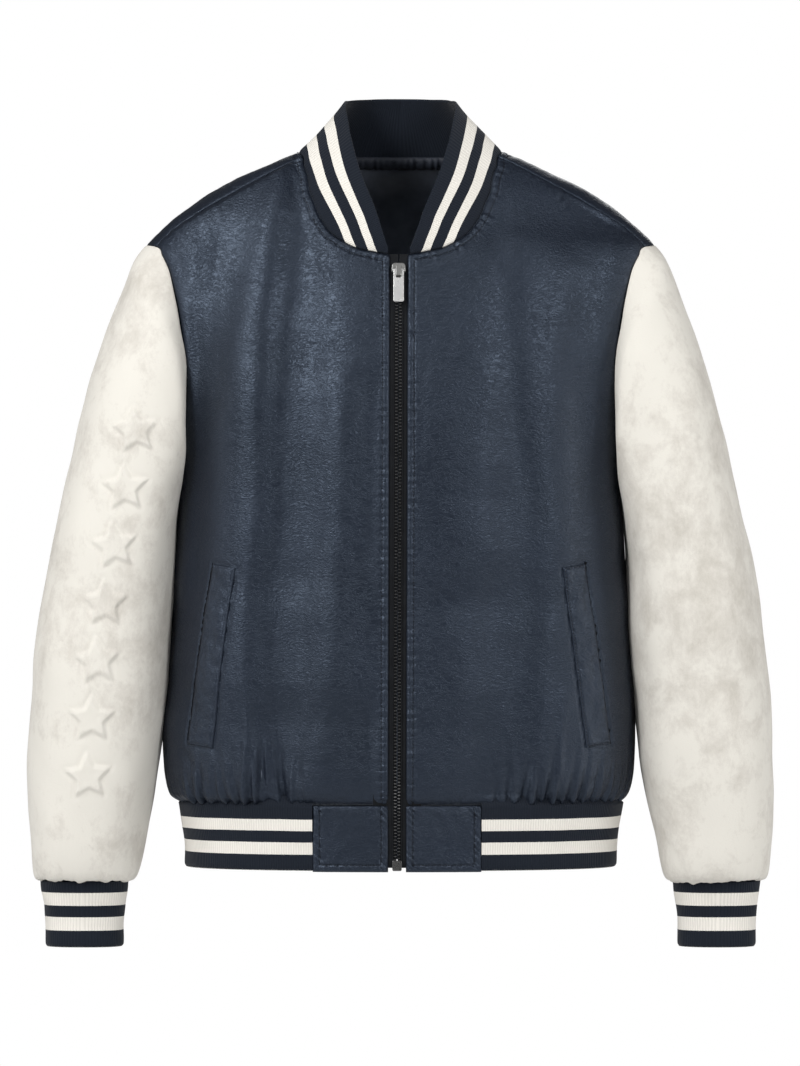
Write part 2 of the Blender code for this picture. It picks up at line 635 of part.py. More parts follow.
def build_sleeves():
    around = np.concatenate([FRONT_TIP_TURNS[::-1], ARM_TURNS[::-1], -ARM_TURNS[1:],
                             -BACK_TIP_TURNS[:-1]])
    along = stations(0, 1, len(SLEEVE))
    cuff_heights = np.array([row.z for row in CUFF if row.z != CUFF[1].z])
    for name, side in SIDES:
        def sleeve(u, v):
            return sleeve_surface(side, u * side, v)

        def cuff(u, v):
            return ring_point(CUFF, u, v) + np.array([CUFF_X * side, 0, 0])

        cloth("sleeve_" + name, sleeve, (around * side)[::side], along, SUEDE, "white_suede",
              closed=True, gap=SLEEVE_GAP)
        cloth("cuff_" + name, cuff, stations(0, 360, 20)[:-1], cuff_heights, RIB, "rib_knit",
              closed=True)


def build_collar():
    half = np.concatenate([stations(0, NECK_SHOULDER, NECK_COLUMNS),
                           stations(NECK_SHOULDER, 1, BACK_NECK_COLUMNS)[1:]])
    along = np.concatenate([half - 1, 1 - half[-2::-1]])

    def surface(u, v):
        return collar_surface(-u, v)

    cloth("collar", surface, along, stations(0, 1, 3), RIB, "rib_knit")


def on_front(side):
    """The front, as a surface of a distance from the zip's middle and a height."""
    def surface(reach, z):
        return front_point(reach + zip_middle(z), z)
    return surface


def build_hem():
    def rib(round_share, z):
        start, end = (turn_at(HEM, TAB_REACH + side * zip_middle(z), z) for _, side in SIDES)
        return ring_point(HEM, start + (360 - end - start) * round_share, z)

    cloth("hem_rib", rib, stations(0, 1, 28), stations(HEM_END_Z, HEM_SEAM_Z, 3), RIB, "rib_knit",
          on_body=True)
    for name, side in SIDES:
        cloth("hem_tab_" + name, on_front(side), np.sort(stations(OPENING, TAB_REACH, 4) * side),
              stations(TAB_END_Z, HEM_SEAM_Z, 3), RIB, "navy_leather", on_body=True)


def build_welts():
    top_inner, top_outer, low_outer, low_inner = (np.array(corner) for corner in WELT)
    for name, side in SIDES:
        def surface(u, v):
            share = (u * side)[..., None]
            low = low_inner * (1 - share) + low_outer * share
            top = top_inner * (1 - share) + top_outer * share
            flat = low + (top - low) * v[..., None]
            return front_point(flat[..., 0] * side, flat[..., 1])

        cloth("pocket_welt_" + name, surface, np.sort(stations(0, 1, 3) * side), stations(0, 1, 6),
              LEATHER, "navy_leather", lift=LEATHER + LAYER_GAP, on_body=True)


def zip_heights(start, end):
    """Heights down the zip that fall on the fronts' own rows."""
    heights = HEM_SEAM_Z + (EDGE_TOP_Z - HEM_SEAM_Z) * front_rows()
    inside = heights[(heights > start + LEAST_ROW) & (heights < end - LEAST_ROW)]
    return np.concatenate([[start], inside, [end]])


def build_zip():
    heights = zip_heights(TAPE_END_Z, EDGE_TOP_Z)
    for name, side in SIDES:
        reach = np.sort(np.array([SEAM_GAP, OPENING, TAPE_REACH]) * side)
        cloth("zip_tape_" + name, on_front(side), reach, heights, TAPE, "zip_tape",
              lift=-RIB - TAPE_GAP, gap=SEAM_GAP, on_body=True)
    reach = stations(-CHAIN_HALF, CHAIN_HALF, 2)
    chain_back = RIB + TAPE_GAP - LAYER_GAP
    cloth("zip_chain", on_front(1), reach, zip_heights(BOX_TOP_Z, CHAIN_TOP_Z),
          chain_back + CHAIN_PROUD, "zip_metal", lift=CHAIN_PROUD, on_body=True)
    cloth("zip_box", on_front(1), reach, stations(BOX_END_Z, BOX_TOP_Z, 1), BOX_THICK,
          "zip_metal", lift=BOX_THICK / 2, on_body=True)


def block(mesh, x, y, z):
    """Add a box to a bmesh, between two values along each axis."""
    made = bmesh.ops.create_cube(mesh, size=1.0)
    centre = Vector(((x[0] + x[1]) / 2, (y[0] + y[1]) / 2, (z[0] + z[1]) / 2))
    size = Matrix.Diagonal((x[1] - x[0], y[1] - y[0], z[1] - z[0], 1.0))
    bmesh.ops.transform(mesh, matrix=Matrix.Translation(centre) @ size, verts=made["verts"])


def cutter(name, x, y, z):
    """A box that only shapes other objects."""
    work = bmesh.new()
    block(work, x, y, z)
    mesh = bpy.data.meshes.new(name)
    work.to_mesh(mesh)
    work.free()
    made = bpy.data.objects.new(name, mesh)
    bpy.context.collection.objects.link(made)
    made.hide_render = True
    made.display_type = "WIRE"
    return made


def combine(target, tool, operation, parent):
    tool.parent = parent
    modifier = target.modifiers.new(tool.name, "BOOLEAN")
    modifier.operation = operation
    modifier.solver = "EXACT"
    modifier.object = tool


def slider_frame(z):
    """An empty on the zip at a height, its z up along the zip and its y into the jacket."""
    above, below = (front_point(zip_middle(z + step), z + step) for step in (0.004, -0.004))
    up = Vector(above - below).normalized()
    side = Vector((1.0, 0.0, 0.0))
    inward = up.cross(side).normalized()
    side = inward.cross(up)
    frame = bpy.data.objects.new("zip_frame", None)
    bpy.context.collection.objects.link(frame)
    turn = Matrix((side, inward, up)).transposed().to_4x4()
    frame.matrix_world = Matrix.Translation(Vector(front_point(zip_middle(z), z))) @ turn
    return frame


def build_slider():
    """The slider; also gives its frame and the depth of the hole under its bridge."""
    frame = slider_frame(SLIDER_Z)
    work = bmesh.new()
    block(work, (-SLIDER_HALF, SLIDER_HALF), PLATE, (-SLIDER_LONG, 0))
    mesh = bpy.data.meshes.new("zip_slider")
    work.to_mesh(mesh)
    work.free()
    slider = add_object("zip_slider", mesh, "bright_metal")
    slider.parent = frame
    front = PLATE[0] - BRIDGE_RISE
    for side in (-1, 1):
        x = sorted((side * FLANGE[0], side * SLIDER_HALF))
        tool = cutter(f"flange{side}", x, (PLATE[1] - SUNK, FLANGE[1]), (-SLIDER_LONG, FLANGE_TOP))
        combine(slider, tool, "UNION", frame)
    hole_half = TAB_BAR / 2 + TAB_CLEAR
    half = hole_half + BRIDGE_BAR + BRIDGE_FOOT
    arch = cutter("bridge", (-BRIDGE_HALF, BRIDGE_HALF), (front, PLATE[0] + SUNK),
                  (BRIDGE_Z - half, BRIDGE_Z + half))
    combine(slider, arch, "UNION", frame)
    hole = cutter("bridge_hole", (-SLIDER_HALF, SLIDER_HALF), (front + BRIDGE_BAR, PLATE[0]),
                  (BRIDGE_Z - hole_half, BRIDGE_Z + hole_half))
    combine(slider, hole, "DIFFERENCE", frame)
    return frame, (front + BRIDGE_BAR + PLATE[0]) / 2


def build_tab(frame, pin_y):
    """The pull tab, on a pin in the slider's frame."""
    pin = bpy.data.objects.new("pull_tab_pin", None)
    bpy.context.collection.objects.link(pin)
    pin.parent = frame
    pin.location = (0.0, pin_y, BRIDGE_Z)
    work = bmesh.new()
    corners = [(-TAB_HALF, TAB_BAR / 2), (TAB_HALF, TAB_BAR / 2)]
    low = TAB_BAR / 2 - TAB_LONG
    for centre, start in ((TAB_HALF - CURL, 0.0), (CURL - TAB_HALF, -90.0)):
        for angle in np.radians(start - stations(0, 90, CURL_STEPS)):
            corners.append((centre + CURL * math.cos(angle), low + CURL + CURL * math.sin(angle)))
    outline = [work.verts.new((x, -TAB_THICK / 2, z)) for x, z in corners]
    face = work.faces.new(outline)
    made = bmesh.ops.extrude_face_region(work, geom=[face])
    moved = [item for item in made["geom"] if isinstance(item, bmesh.types.BMVert)]
    bmesh.ops.translate(work, vec=(0, TAB_THICK, 0), verts=moved)
    bmesh.ops.recalc_face_normals(work, faces=work.faces)
    mesh = bpy.data.meshes.new("zip_pull_tab")
    work.to_mesh(mesh)
    work.free()
    tab = add_object("zip_pull_tab", mesh, "bright_metal")
    tab.parent = pin
    slot = cutter("slot", (-TAB_SLOT[0], TAB_SLOT[0]), (-TAB_THICK, TAB_THICK),
                  (-TAB_BAR / 2 - TAB_SLOT[1], -TAB_BAR / 2))
    combine(tab, slot, "DIFFERENCE", pin)


def main():
    for old in list(bpy.data.objects):
        bpy.data.objects.remove(old)
    build_fronts()
    build_back()
    build_sleeves()
    build_collar()
    build_hem()
    build_welts()
    build_zip()
    build_tab(*build_slider())


main()
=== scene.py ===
"""Visible surfaces of the varsity jacket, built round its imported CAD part.

Each panel is drawn on the same tubes and seams as its CAD solid, with folds, gathers, sewn
edges and the cloth's own grain added. The looks, the lights and the camera follow.
Metres, +Z up. The front faces -Y and the wearer's left is at +X.
A turn is an angle round the body: 0 at centre front, 90 at the wearer's left, 180 at centre back.
"""
import math
from collections import namedtuple

import bmesh
import bpy
import numpy as np
from mathutils import Matrix, Vector
from mathutils.bvhtree import BVHTree
from mathutils.kdtree import KDTree


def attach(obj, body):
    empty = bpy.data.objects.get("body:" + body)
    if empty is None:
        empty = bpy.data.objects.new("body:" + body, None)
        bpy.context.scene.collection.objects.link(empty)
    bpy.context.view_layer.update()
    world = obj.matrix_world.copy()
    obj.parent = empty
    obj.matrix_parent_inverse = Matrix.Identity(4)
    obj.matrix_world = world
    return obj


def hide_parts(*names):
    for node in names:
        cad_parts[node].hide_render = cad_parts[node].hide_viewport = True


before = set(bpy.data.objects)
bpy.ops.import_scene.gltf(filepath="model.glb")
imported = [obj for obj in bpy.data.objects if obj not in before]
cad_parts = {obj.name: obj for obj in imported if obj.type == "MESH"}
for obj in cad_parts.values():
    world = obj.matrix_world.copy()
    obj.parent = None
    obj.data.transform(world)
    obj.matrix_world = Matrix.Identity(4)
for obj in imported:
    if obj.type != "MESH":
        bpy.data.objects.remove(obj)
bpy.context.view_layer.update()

# Driving sizes
HEM_SEAM_Z = -0.619        # seam between the body and the hem rib
HEM_END_Z = -0.679         # lower edge of the hem rib
ARMPIT_Z = -0.3135
SHOULDER_TIP_Z = -0.0906   # where the armhole crosses the shoulder's ridge
SQUARENESS = 2.3           # 2 gives oval sections, more gives squarer ones

# Cloth
LEATHER = 0.0015
SUEDE = 0.0015
RIB = 0.0026
SATIN = 0.0010
LAYER_GAP = 0.0004         # between two pieces that lie on each other
FRONT_LINING_GAP = 0.0012  # from a panel's inner face to its lining
SLEEVE_LINING_GAP = 0.0010
BACK_LINING_GAP = 0.0020
LINING_SLACK = 0.0028      # how far the back's lining may fold either way

# The zip
ZIP_LEAN = (-0.0014, -0.0033)   # x of the zip's middle at the neck and at the hem
OPENING = 0.0083                # from the zip's middle to the fronts' edges
TAPE_REACH = 0.0225             # from the zip's middle to a tape's outer edge, under the front
CHAIN_HALF = 0.0040
CHAIN_TOP_Z = -0.1164
BOX_TOP_Z = -0.6700             # the box that stops the zip at the hem
BOX_END_Z = -0.6788
BOX_THICK = 0.0032
TAPE_END_Z = -0.6765


def rows_of(kind, *rows):
    """A table of sizes, whose rows read their numbers by name."""
    return tuple(kind(*row) for row in rows)


# Lines and sections that the surfaces run through
Girth = namedtuple("Girth", "z half_width front back middle")
BODY = rows_of(    # sections of the body, from the hem up; the last two close it above the neck
    Girth,
    (-0.6190, 0.2108, 0.1060, 0.1160, -0.0080),
    (-0.6120, 0.2152, 0.1082, 0.1180, -0.0080),
    (-0.5980, 0.2198, 0.1105, 0.1205, -0.0080),
    (-0.5730, 0.2222, 0.1125, 0.1225, -0.0080),
    (-0.5400, 0.2228, 0.1135, 0.1240, -0.0080),
    (-0.4400, 0.2165, 0.1140, 0.1260, -0.0080),
    (-0.3540, 0.2108, 0.1140, 0.1280, -0.0080),
    (-0.3135, 0.2078, 0.1130, 0.1290, -0.0080),
    (-0.2500, 0.2160, 0.1100, 0.1290, -0.0080),
    (-0.2000, 0.2265, 0.1050, 0.1270, -0.0070),
    (-0.1600, 0.2360, 0.0980, 0.1240, -0.0050),
    (-0.1200, 0.2430, 0.0880, 0.1180, -0.0030),
    (-0.0906, 0.2418, 0.0780, 0.1120, -0.0010),
    (-0.0770, 0.2304, 0.0710, 0.1080, 0.0000),
    (-0.0635, 0.2170, 0.0640, 0.1030, 0.0000),
    (-0.0480, 0.1966, 0.0560, 0.0960, 0.0000),
    (-0.0285, 0.1630, 0.0460, 0.0850, 0.0000),
    (-0.0133, 0.1290, 0.0380, 0.0740, 0.0000),
    (0.0000, 0.0936, 0.0310, 0.0640, 0.0000),
    (0.0120, 0.0600, 0.0250, 0.0550, 0.0000),
    (0.0300, 0.0020, 0.0160, 0.0400, 0.0000),
)
HEM = rows_of(    # sections of the hem rib, from its lower edge up
    Girth,
    (-0.6790, 0.2043, 0.1020, 0.1120, -0.0080),
    (-0.6600, 0.2050, 0.1028, 0.1128, -0.0080),
    (-0.6400, 0.2075, 0.1042, 0.1142, -0.0080),
    (-0.6190, 0.2108, 0.1060, 0.1160, -0.0080),
)
CUFF_X = 0.2993
CUFF = rows_of(    # sections of a cuff about x = CUFF_X, from its lower edge up
    Girth,
    (-0.7545, 0.0370, 0.0290, 0.0290, -0.0160),
    (-0.7285, 0.0372, 0.0292, 0.0292, -0.0160),
    (-0.7170, 0.0384, 0.0300, 0.0300, -0.0160),
    (-0.7058, 0.0400, 0.0318, 0.0318, -0.0160),
    (-0.6932, 0.0412, 0.0334, 0.0334, -0.0160),
)

SeamPoint = namedtuple("SeamPoint", "along turn z")
NECK = rows_of(    # half of the neck seam, from the zip to centre back
    SeamPoint,
    (0.000, 1.6, -0.1025),
    (0.050, 4.0, -0.1002),
    (0.110, 7.5, -0.0960),
    (0.150, 9.7, -0.0910),
    (0.210, 13.0, -0.0823),
    (0.285, 16.7, -0.0677),
    (0.375, 22.5, -0.0462),
    (0.475, 36.0, -0.0195),
    (0.530, 53.0, -0.0070),
    (0.590, 90.0, 0.0000),
    (0.720, 121.0, -0.0008),
    (0.860, 151.0, -0.0032),
    (1.000, 180.0, -0.0040),
)
EDGE_TOP_Z = -0.1030       # top of a front's edge beside the zip
NECK_SHOULDER = 0.530      # where the shoulder seam meets the neck seam, along NECK
SHOULDER = rows_of(    # shoulder seam, just in front of the ridge, from the neck to the armhole
    SeamPoint,
    (0.00, 53.0, -0.0070),
    (0.25, 52.6, -0.0245),
    (0.50, 56.4, -0.0440),
    (0.75, 62.8, -0.0635),
    (0.88, 68.0, -0.0765),
    (1.00, 71.2, -0.0929),
)

ArmholePoint = namedtuple("ArmholePoint", "around front_turn back_turn")
ARMHOLE = rows_of(    # turns from the side to the armhole seam; around is 0 on the ridge
    ArmholePoint,
    (0, 0.0, 0.0),
    (12, 18.8, 13.0),
    (27, 25.0, 19.5),
    (45, 29.0, 24.0),
    (68, 30.0, 26.5),
    (90, 28.0, 25.5),
    (115, 21.5, 20.5),
    (140, 12.0, 12.5),
    (160, 5.5, 6.0),
    (180, 0.0, 0.0),
)
TIP_AROUND = 12.0          # where the shoulder seam meets the armhole, in front of the ridge
BLADE_AROUND = 45.0        # above this level the back is laid over the shoulder on rays
SIDE_TURN = 90.0

Section = namedtuple("Section", "outer_x outer_z inner_x inner_z half_depth middle bow")
SLEEVE = rows_of(    # sections below the armhole; bow pulls a sleeve's front and back to the body
    Section,
    (0.2525, -0.1060, 0.2098, -0.3290, 0.0720, -0.0060, 0.0230),
    (0.2640, -0.1330, 0.2118, -0.3430, 0.0765, -0.0080, 0.0200),
    (0.2780, -0.1720, 0.2140, -0.3600, 0.0790, -0.0095, 0.0140),
    (0.2935, -0.2200, 0.2158, -0.3810, 0.0800, -0.0110, 0.0070),
    (0.3090, -0.2780, 0.2174, -0.4080, 0.0790, -0.0125, 0.0020),
    (0.3230, -0.3410, 0.2192, -0.4400, 0.0770, -0.0140, 0.0000),
    (0.3360, -0.4090, 0.2216, -0.4810, 0.0745, -0.0150, 0.0000),
    (0.3450, -0.4750, 0.2240, -0.5230, 0.0720, -0.0160, 0.0000),
    (0.3508, -0.5350, 0.2262, -0.5640, 0.0690, -0.0160, 0.0000),
    (0.3532, -0.5920, 0.2320, -0.6060, 0.0645, -0.0160, 0.0000),
    (0.3522, -0.6400, 0.2402, -0.6460, 0.0580, -0.0160, 0.0000),
    (0.3494, -0.6740, 0.2462, -0.6760, 0.0510, -0.0160, 0.0000),
    (0.3466, -0.6890, 0.2510, -0.6895, 0.0440, -0.0160, 0.0000),
    (0.3410, -0.6932, 0.2576, -0.6932, 0.0340, -0.0160, 0.0000),
)

EdgePoint = namedtuple("EdgePoint", "along x y z")
COLLAR_EDGE = rows_of(    # half of the collar's free edge; along is the neck seam's own measure
    EdgePoint,
    (0.000, 0.0100, -0.0850, -0.0965),
    (0.050, 0.0120, -0.0860, -0.0925),
    (0.110, 0.0158, -0.0860, -0.0815),
    (0.150, 0.0182, -0.0850, -0.0745),
    (0.210, 0.0222, -0.0830, -0.0620),
    (0.285, 0.0292, -0.0790, -0.0450),
    (0.375, 0.0385, -0.0690, -0.0215),
    (0.475, 0.0478, -0.0460, 0.0130),
    (0.530, 0.0513, -0.0270, 0.0305),
    (0.590, 0.0530, -0.0080, 0.0425),
    (0.720, 0.0478, 0.0230, 0.0490),
    (0.860, 0.0275, 0.0460, 0.0515),
    (1.000, 0.0000, 0.0540, 0.0520),
)

Corner = namedtuple("Corner", "x z")
WELT = rows_of(    # a pocket welt's corners: top inner, top outer, bottom outer, bottom inner
    Corner,
    (0.1520, -0.3965),
    (0.1743, -0.3930),
    (0.1975, -0.5615),
    (0.1742, -0.5655),
)
TAB_REACH = 0.0790         # from the zip's middle to the outer edge of a hem end panel
TAB_END_Z = -0.6805        # the end panels are a little longer than the rib

# Mesh stations
STEP = 1e-5                # share of a surface, or metres, over which its slope is measured
NECK_COLUMNS = 8           # of a front, under the neck seam
PIT_V = 0.52               # height of the armpit on a front or the back, as a share of its rows
BLADE_V = 0.82             # height where the back starts over the shoulder
RIDGE_V = 0.965            # height of the shoulder's ridge at the armhole, on the back
NECK_U = 0.52              # share of a front's width that lies under the neck seam
BACK_NECK_U = 0.50
SMOOTH_ROUNDS = 40         # of averaging over a front or the back
LINING_SKIP = 3            # a lining has one row or column for this many of the panel outside it
LINE_STEP = 0.0005         # spacing of the points that distances to a line are measured from
Grid = namedtuple("Grid", "length margin fine coarse")    # fine steps in the margins
FRONT_GRID = (Grid(0.225, 0.010, 0.0008, 0.0014), Grid(0.520, 0.012, 0.0008, 0.0019))
BACK_GRID = (Grid(0.230, 0.010, 0.0012, 0.0032), Grid(0.640, 0.012, 0.0010, 0.0028))
SLEEVE_GRID = Grid(0.640, 0.012, 0.0010, 0.0026)     # along the sleeve
STARRED_GRID = Grid(0.640, 0.012, 0.0010, 0.0020)    # along the sleeve with the raised stars
TAB_GRID = (0.009, 0.0007, 0.0016)
COLLAR_GRID = (Grid(1.0, 0.02, 0.002, 0.006), Grid(0.060, 0.006, 0.0008, 0.0018))
WELT_GRID = (Grid(0.0225, 0.003, 0.0005, 0.0010), Grid(0.170, 0.003, 0.0005, 0.0015))

# The slider and its tab, in their own frame: z up along the zip, y into the jacket
SLIDER_Z = -0.1129         # the slider's upper end
SLIDER_LONG = 0.0125
SLIDER_HALF = 0.0062
PLATE = (-0.0036, -0.0012)      # front and back of the slider's plate, from the fronts' surface
FLANGE = (0.0047, 0.0008)       # inner x of the flanges beside the chain, and their back
FLANGE_TOP = -0.0020
BRIDGE_Z = -0.0068              # the hole under the bridge, where the tab is held
BRIDGE_HALF = 0.0021
BRIDGE_RISE = 0.0038            # out of the plate
BRIDGE_BAR = 0.0012
BRIDGE_FOOT = 0.0010            # how far each foot is longer than the bar is thick
TAB_LONG = 0.0326
TAB_THICK = 0.0016
TAB_BAR = 0.0013                # the tab's end bar, held under the bridge
TAB_SLOT = (0.0027, 0.0080)     # half width and length of its slot
TAB_CLEAR = 0.0004
SLIDER_WAIST = ((0.0057, -0.0062), (0.0040, -0.0088), (0.0040, -0.0125))    # its edge, x and z
TAB_SEEN_HALF = 0.0045          # half width of the tab that shows
BAR_TONGUE = 0.0030             # the bridge's free end below its foot

# Sewing and relief
STITCH_IN = 0.0066         # from an edge to the row of stitches beside it
STITCH_STEP = 0.0031
STITCH_LONG = 0.0022
STITCH_WIDE = 0.0007
HEM_ROLL = (0.0045, 0.0060)    # depth and reach of the body's roll over the hem seam
ON_EDGE = 1e-6             # how far past a corner a point still counts as on a seam
GROOVE = 0.0008            # depth of the line that the stitches pull in
PUCKER = 0.0008            # depth of the dimples beside the stitches
PUCKER_STEP = 0.0062       # from one dimple to the next
RIB_STEP = 0.0024          # from one rib of the knit to the next
UNDERARM_Z = -0.200        # below it a sleeve hangs free of the body
ELBOW_Z = -0.450           # where a sleeve bows in and rests on the body
UNDERARM_BULGE = (0.0024, 0.030)    # how far a sleeve bulges to the body there, and its reach
ELBOW_BULGE = (0.0045, 0.100)
EMBOSS = 0.00216           # how far the raised stars stand out of the sleeve
STAR_NOTCH = 0.50          # depth of a star's notches, as a share of its size
WELT_LIFT = 0.0014         # of a welt's face over the front
WELT_SINK = (0.0013, 0.0014)    # depth and width of the front's groove round a welt
SLIT_U = 1.035             # the pocket's slit, a dark strip of painted shade just outside the welt's long side
SLIT_HALF = 0.0012
ROLL_TALL = 0.0140         # the satin roll under the back of the collar
ROLL_PROUD = 0.0056
ROLL_REACH = 0.42          # its reach on either side of centre back, along the neck seam
TAPE_DEPTH = 0.0020        # from the fronts' surface to the zip's tapes
TAPE_DIP = 0.0012          # of a tape under the front
TAPE_WEAVE = (0.0001, 0.0013)    # depth and pitch of its cross ribs
TOOTH_STEP = 0.0031        # from one tooth to the next on the same tape
TOOTH_PLACE = (0.0017, 0.0010)   # of a tooth's middle: to its side of the zip, and in
RAMP_FADE = 45             # in millimetres, past the ends of a fold's flank
NO_STRIPE = -0.5           # v of the rib's map where it has no stripe
TUCK = ((0.0022, 0.0012), (0.0050, 0.0050), (0.0056, 0.0085))    # hem rib's rows in the body
COLLAR_HALF = 0.28         # length of half the collar in the rib's map
WELT_STITCHES = (          # from u and v, to u and v
    (0.07, 0.008, 0.07, 0.992), (0.07, 0.992, 0.93, 0.992), (0.07, 0.008, 0.93, 0.008),
)
TOOTH_HALF = (0.0013, 0.0012, 0.00042)    # half sizes of a tooth: across, in and along
TOOTH_CHAMFER = 0.00022
CORD_RADIUS = 0.0008       # of the cord along each tape's edge, beside the teeth
CORD_IN = 0.0016
BEHIND = np.array([0.0, 1.0, 0.0])    # from the jacket towards its back
CUFF_STRIPES = (0.0101, 0.0224, 0.0332, 0.0459)    # where the stripes begin, from the seam down
HEM_STRIPES = (0.0125, 0.0232, 0.0340, 0.0454)
Stops = namedtuple("Stops", "share one two three four")    # along the neck seam; from the free edge
COLLAR_STRIPES = rows_of(
    Stops,
    (0.00, 0.0115, 0.0185, 0.0285, 0.0360), (0.10, 0.0118, 0.0189, 0.0291, 0.0367),
    (0.28, 0.0132, 0.0213, 0.0322, 0.0406), (0.42, 0.0140, 0.0242, 0.0350, 0.0456),
    (0.53, 0.0143, 0.0263, 0.0367, 0.0490), (1.00, 0.0143, 0.0263, 0.0367, 0.0490),
)

Fold = namedtuple("Fold", "height width path")    # in millimetres; the path is in x and z
FOLDS = rows_of(    # narrow creases and small ridges
    Fold,
    (-0.5, 6, ((-174, -64), (-169, -83), (-176, -114), (-180, -137), (-181, -156))),
    (0.4, 6, ((-184, -58), (-183, -91), (-185, -137), (-187, -184))),
    (1.0, 9, ((138, -604), (147, -557), (154, -520))),
    (0.7, 3, ((-77, -107), (-66, -126))),
    (0.7, 3, ((17, -121), (44, -111))),
    (-0.8, 4, ((-202, -570), (-171, -610))),
    (-0.8, 4, ((182, -596), (163, -611))),
)
Ramp = namedtuple("Ramp", "rise width path")    # flanks of the soft folds: rise is towards +X
RAMPS = rows_of(
    Ramp,
    (-4.5, 8, ((-190, -100), (-196, -170), (-198, -240), (-199, -320), (-199, -400))),
    (8.5, 15, ((-110, -16), (-122, -44), (-137, -91), (-150, -137), (-163, -184), (-167, -230),
               (-177, -277), (-180, -324), (-179, -400), (-186, -450), (-192, -500))),
    (-12.5, 11, ((-104, -21), (-108, -67), (-113, -114), (-119, -161), (-121, -207), (-124, -254),
                 (-124, -347), (-129, -394), (-133, -417), (-132, -464), (-129, -557),
                 (-125, -613))),
    (10.5, 17, ((-77, -105), (-74, -137), (-71, -184), (-72, -277), (-73, -370), (-78, -417),
                (-83, -510), (-94, -580), (-103, -604))),
    (-5.5, 12, ((-40, -240), (-45, -347), (-50, -394), (-45, -464), (-49, -557), (-52, -604))),
    (2.4, 12, ((23, -207), (25, -230), (24, -268), (28, -324), (35, -361))),
    (1.8, 9, ((48, -111), (54, -147), (50, -189))),
    (-7.0, 17, ((85, -81), (90, -114), (93, -184), (96, -230), (89, -268), (93, -300), (83, -333),
                (91, -380), (74, -426), (72, -464), (76, -510), (67, -557), (65, -604))),
    (6.5, 13, ((98, -91), (104, -137), (107, -175), (118, -254), (131, -347), (131, -394),
               (130, -450), (124, -520), (122, -600))),
    (-3.4, 12, ((149, -86), (166, -114), (160, -137), (154, -193), (156, -240), (162, -300),
                (167, -347), (165, -394))),
    (2.5, 9, ((197, -83), (194, -109), (190, -147), (186, -193), (181, -254), (183, -296),
              (186, -370), (190, -420))),
)
BACK_FOLDS = rows_of(
    Fold,
    (3.0, 22, ((-60, -120), (-75, -220), (-82, -340), (-95, -460), (-110, -600))),
    (-3.0, 14, ((-100, -110), (-112, -230), (-118, -360), (-128, -480), (-140, -600))),
    (2.5, 20, ((70, -110), (78, -230), (76, -350), (90, -470), (96, -600))),
    (-2.5, 14, ((108, -120), (116, -240), (120, -370), (124, -480), (136, -600))),
    (2.0, 18, ((-160, -150), (-165, -260), (-172, -380), (-178, -500))),
    (2.0, 18, ((155, -140), (160, -260), (168, -380), (174, -500))),
    (-1.5, 18, ((0, -180), (4, -300), (-4, -420), (2, -590))),
)
LINING_FOLDS = rows_of(
    Fold,
    (1.6, 5, ((-60, -20), (-30, -60), (-12, -110))),
    (-1.4, 6, ((-30, -20), (-14, -60), (0, -110))),
    (1.6, 6, ((10, -20), (14, -60), (8, -110))),
    (-1.4, 6, ((40, -20), (34, -60), (22, -110))),
    (1.4, 6, ((66, -24), (50, -70), (40, -110))),
)
Gather = namedtuple("Gather", "x depth width rise")    # x is a distance from the middle
GATHERS_RIGHT = rows_of(
    Gather,
    (0.090, 0.0018, 0.0022, 0.024), (0.099, 0.0026, 0.0025, 0.031),
    (0.110, 0.0056, 0.0036, 0.054), (0.118, 0.0042, 0.0028, 0.042),
    (0.125, 0.0062, 0.0036, 0.060), (0.132, 0.0050, 0.0028, 0.046),
    (0.139, 0.0056, 0.0032, 0.054), (0.150, 0.0026, 0.0028, 0.031),
    (0.161, 0.0031, 0.0025, 0.031), (0.171, 0.0026, 0.0028, 0.034),
    (0.183, 0.0031, 0.0022, 0.027), (0.191, 0.0022, 0.0022, 0.024),
)
GATHERS_LEFT = rows_of(
    Gather,
    (0.088, 0.0022, 0.0022, 0.024), (0.102, 0.0026, 0.0028, 0.031),
    (0.116, 0.0040, 0.0031, 0.038), (0.129, 0.0026, 0.0025, 0.031),
    (0.137, 0.0045, 0.0031, 0.045), (0.147, 0.0026, 0.0022, 0.027),
    (0.157, 0.0031, 0.0025, 0.031), (0.168, 0.0031, 0.0022, 0.031),
    (0.179, 0.0026, 0.0022, 0.027), (0.190, 0.0022, 0.0022, 0.024),
)
Star = namedtuple("Star", "x z size turn")
STARS = rows_of(
    Star,
    (-0.2480, -0.268, 0.0235, 0.10),
    (-0.2580, -0.322, 0.0235, 0.05),
    (-0.2680, -0.376, 0.0235, 0.12),
    (-0.2770, -0.430, 0.0235, 0.02),
    (-0.2840, -0.484, 0.0235, 0.08),
    (-0.2890, -0.538, 0.0235, 0.00),
    (-0.2930, -0.592, 0.0235, 0.06),
)

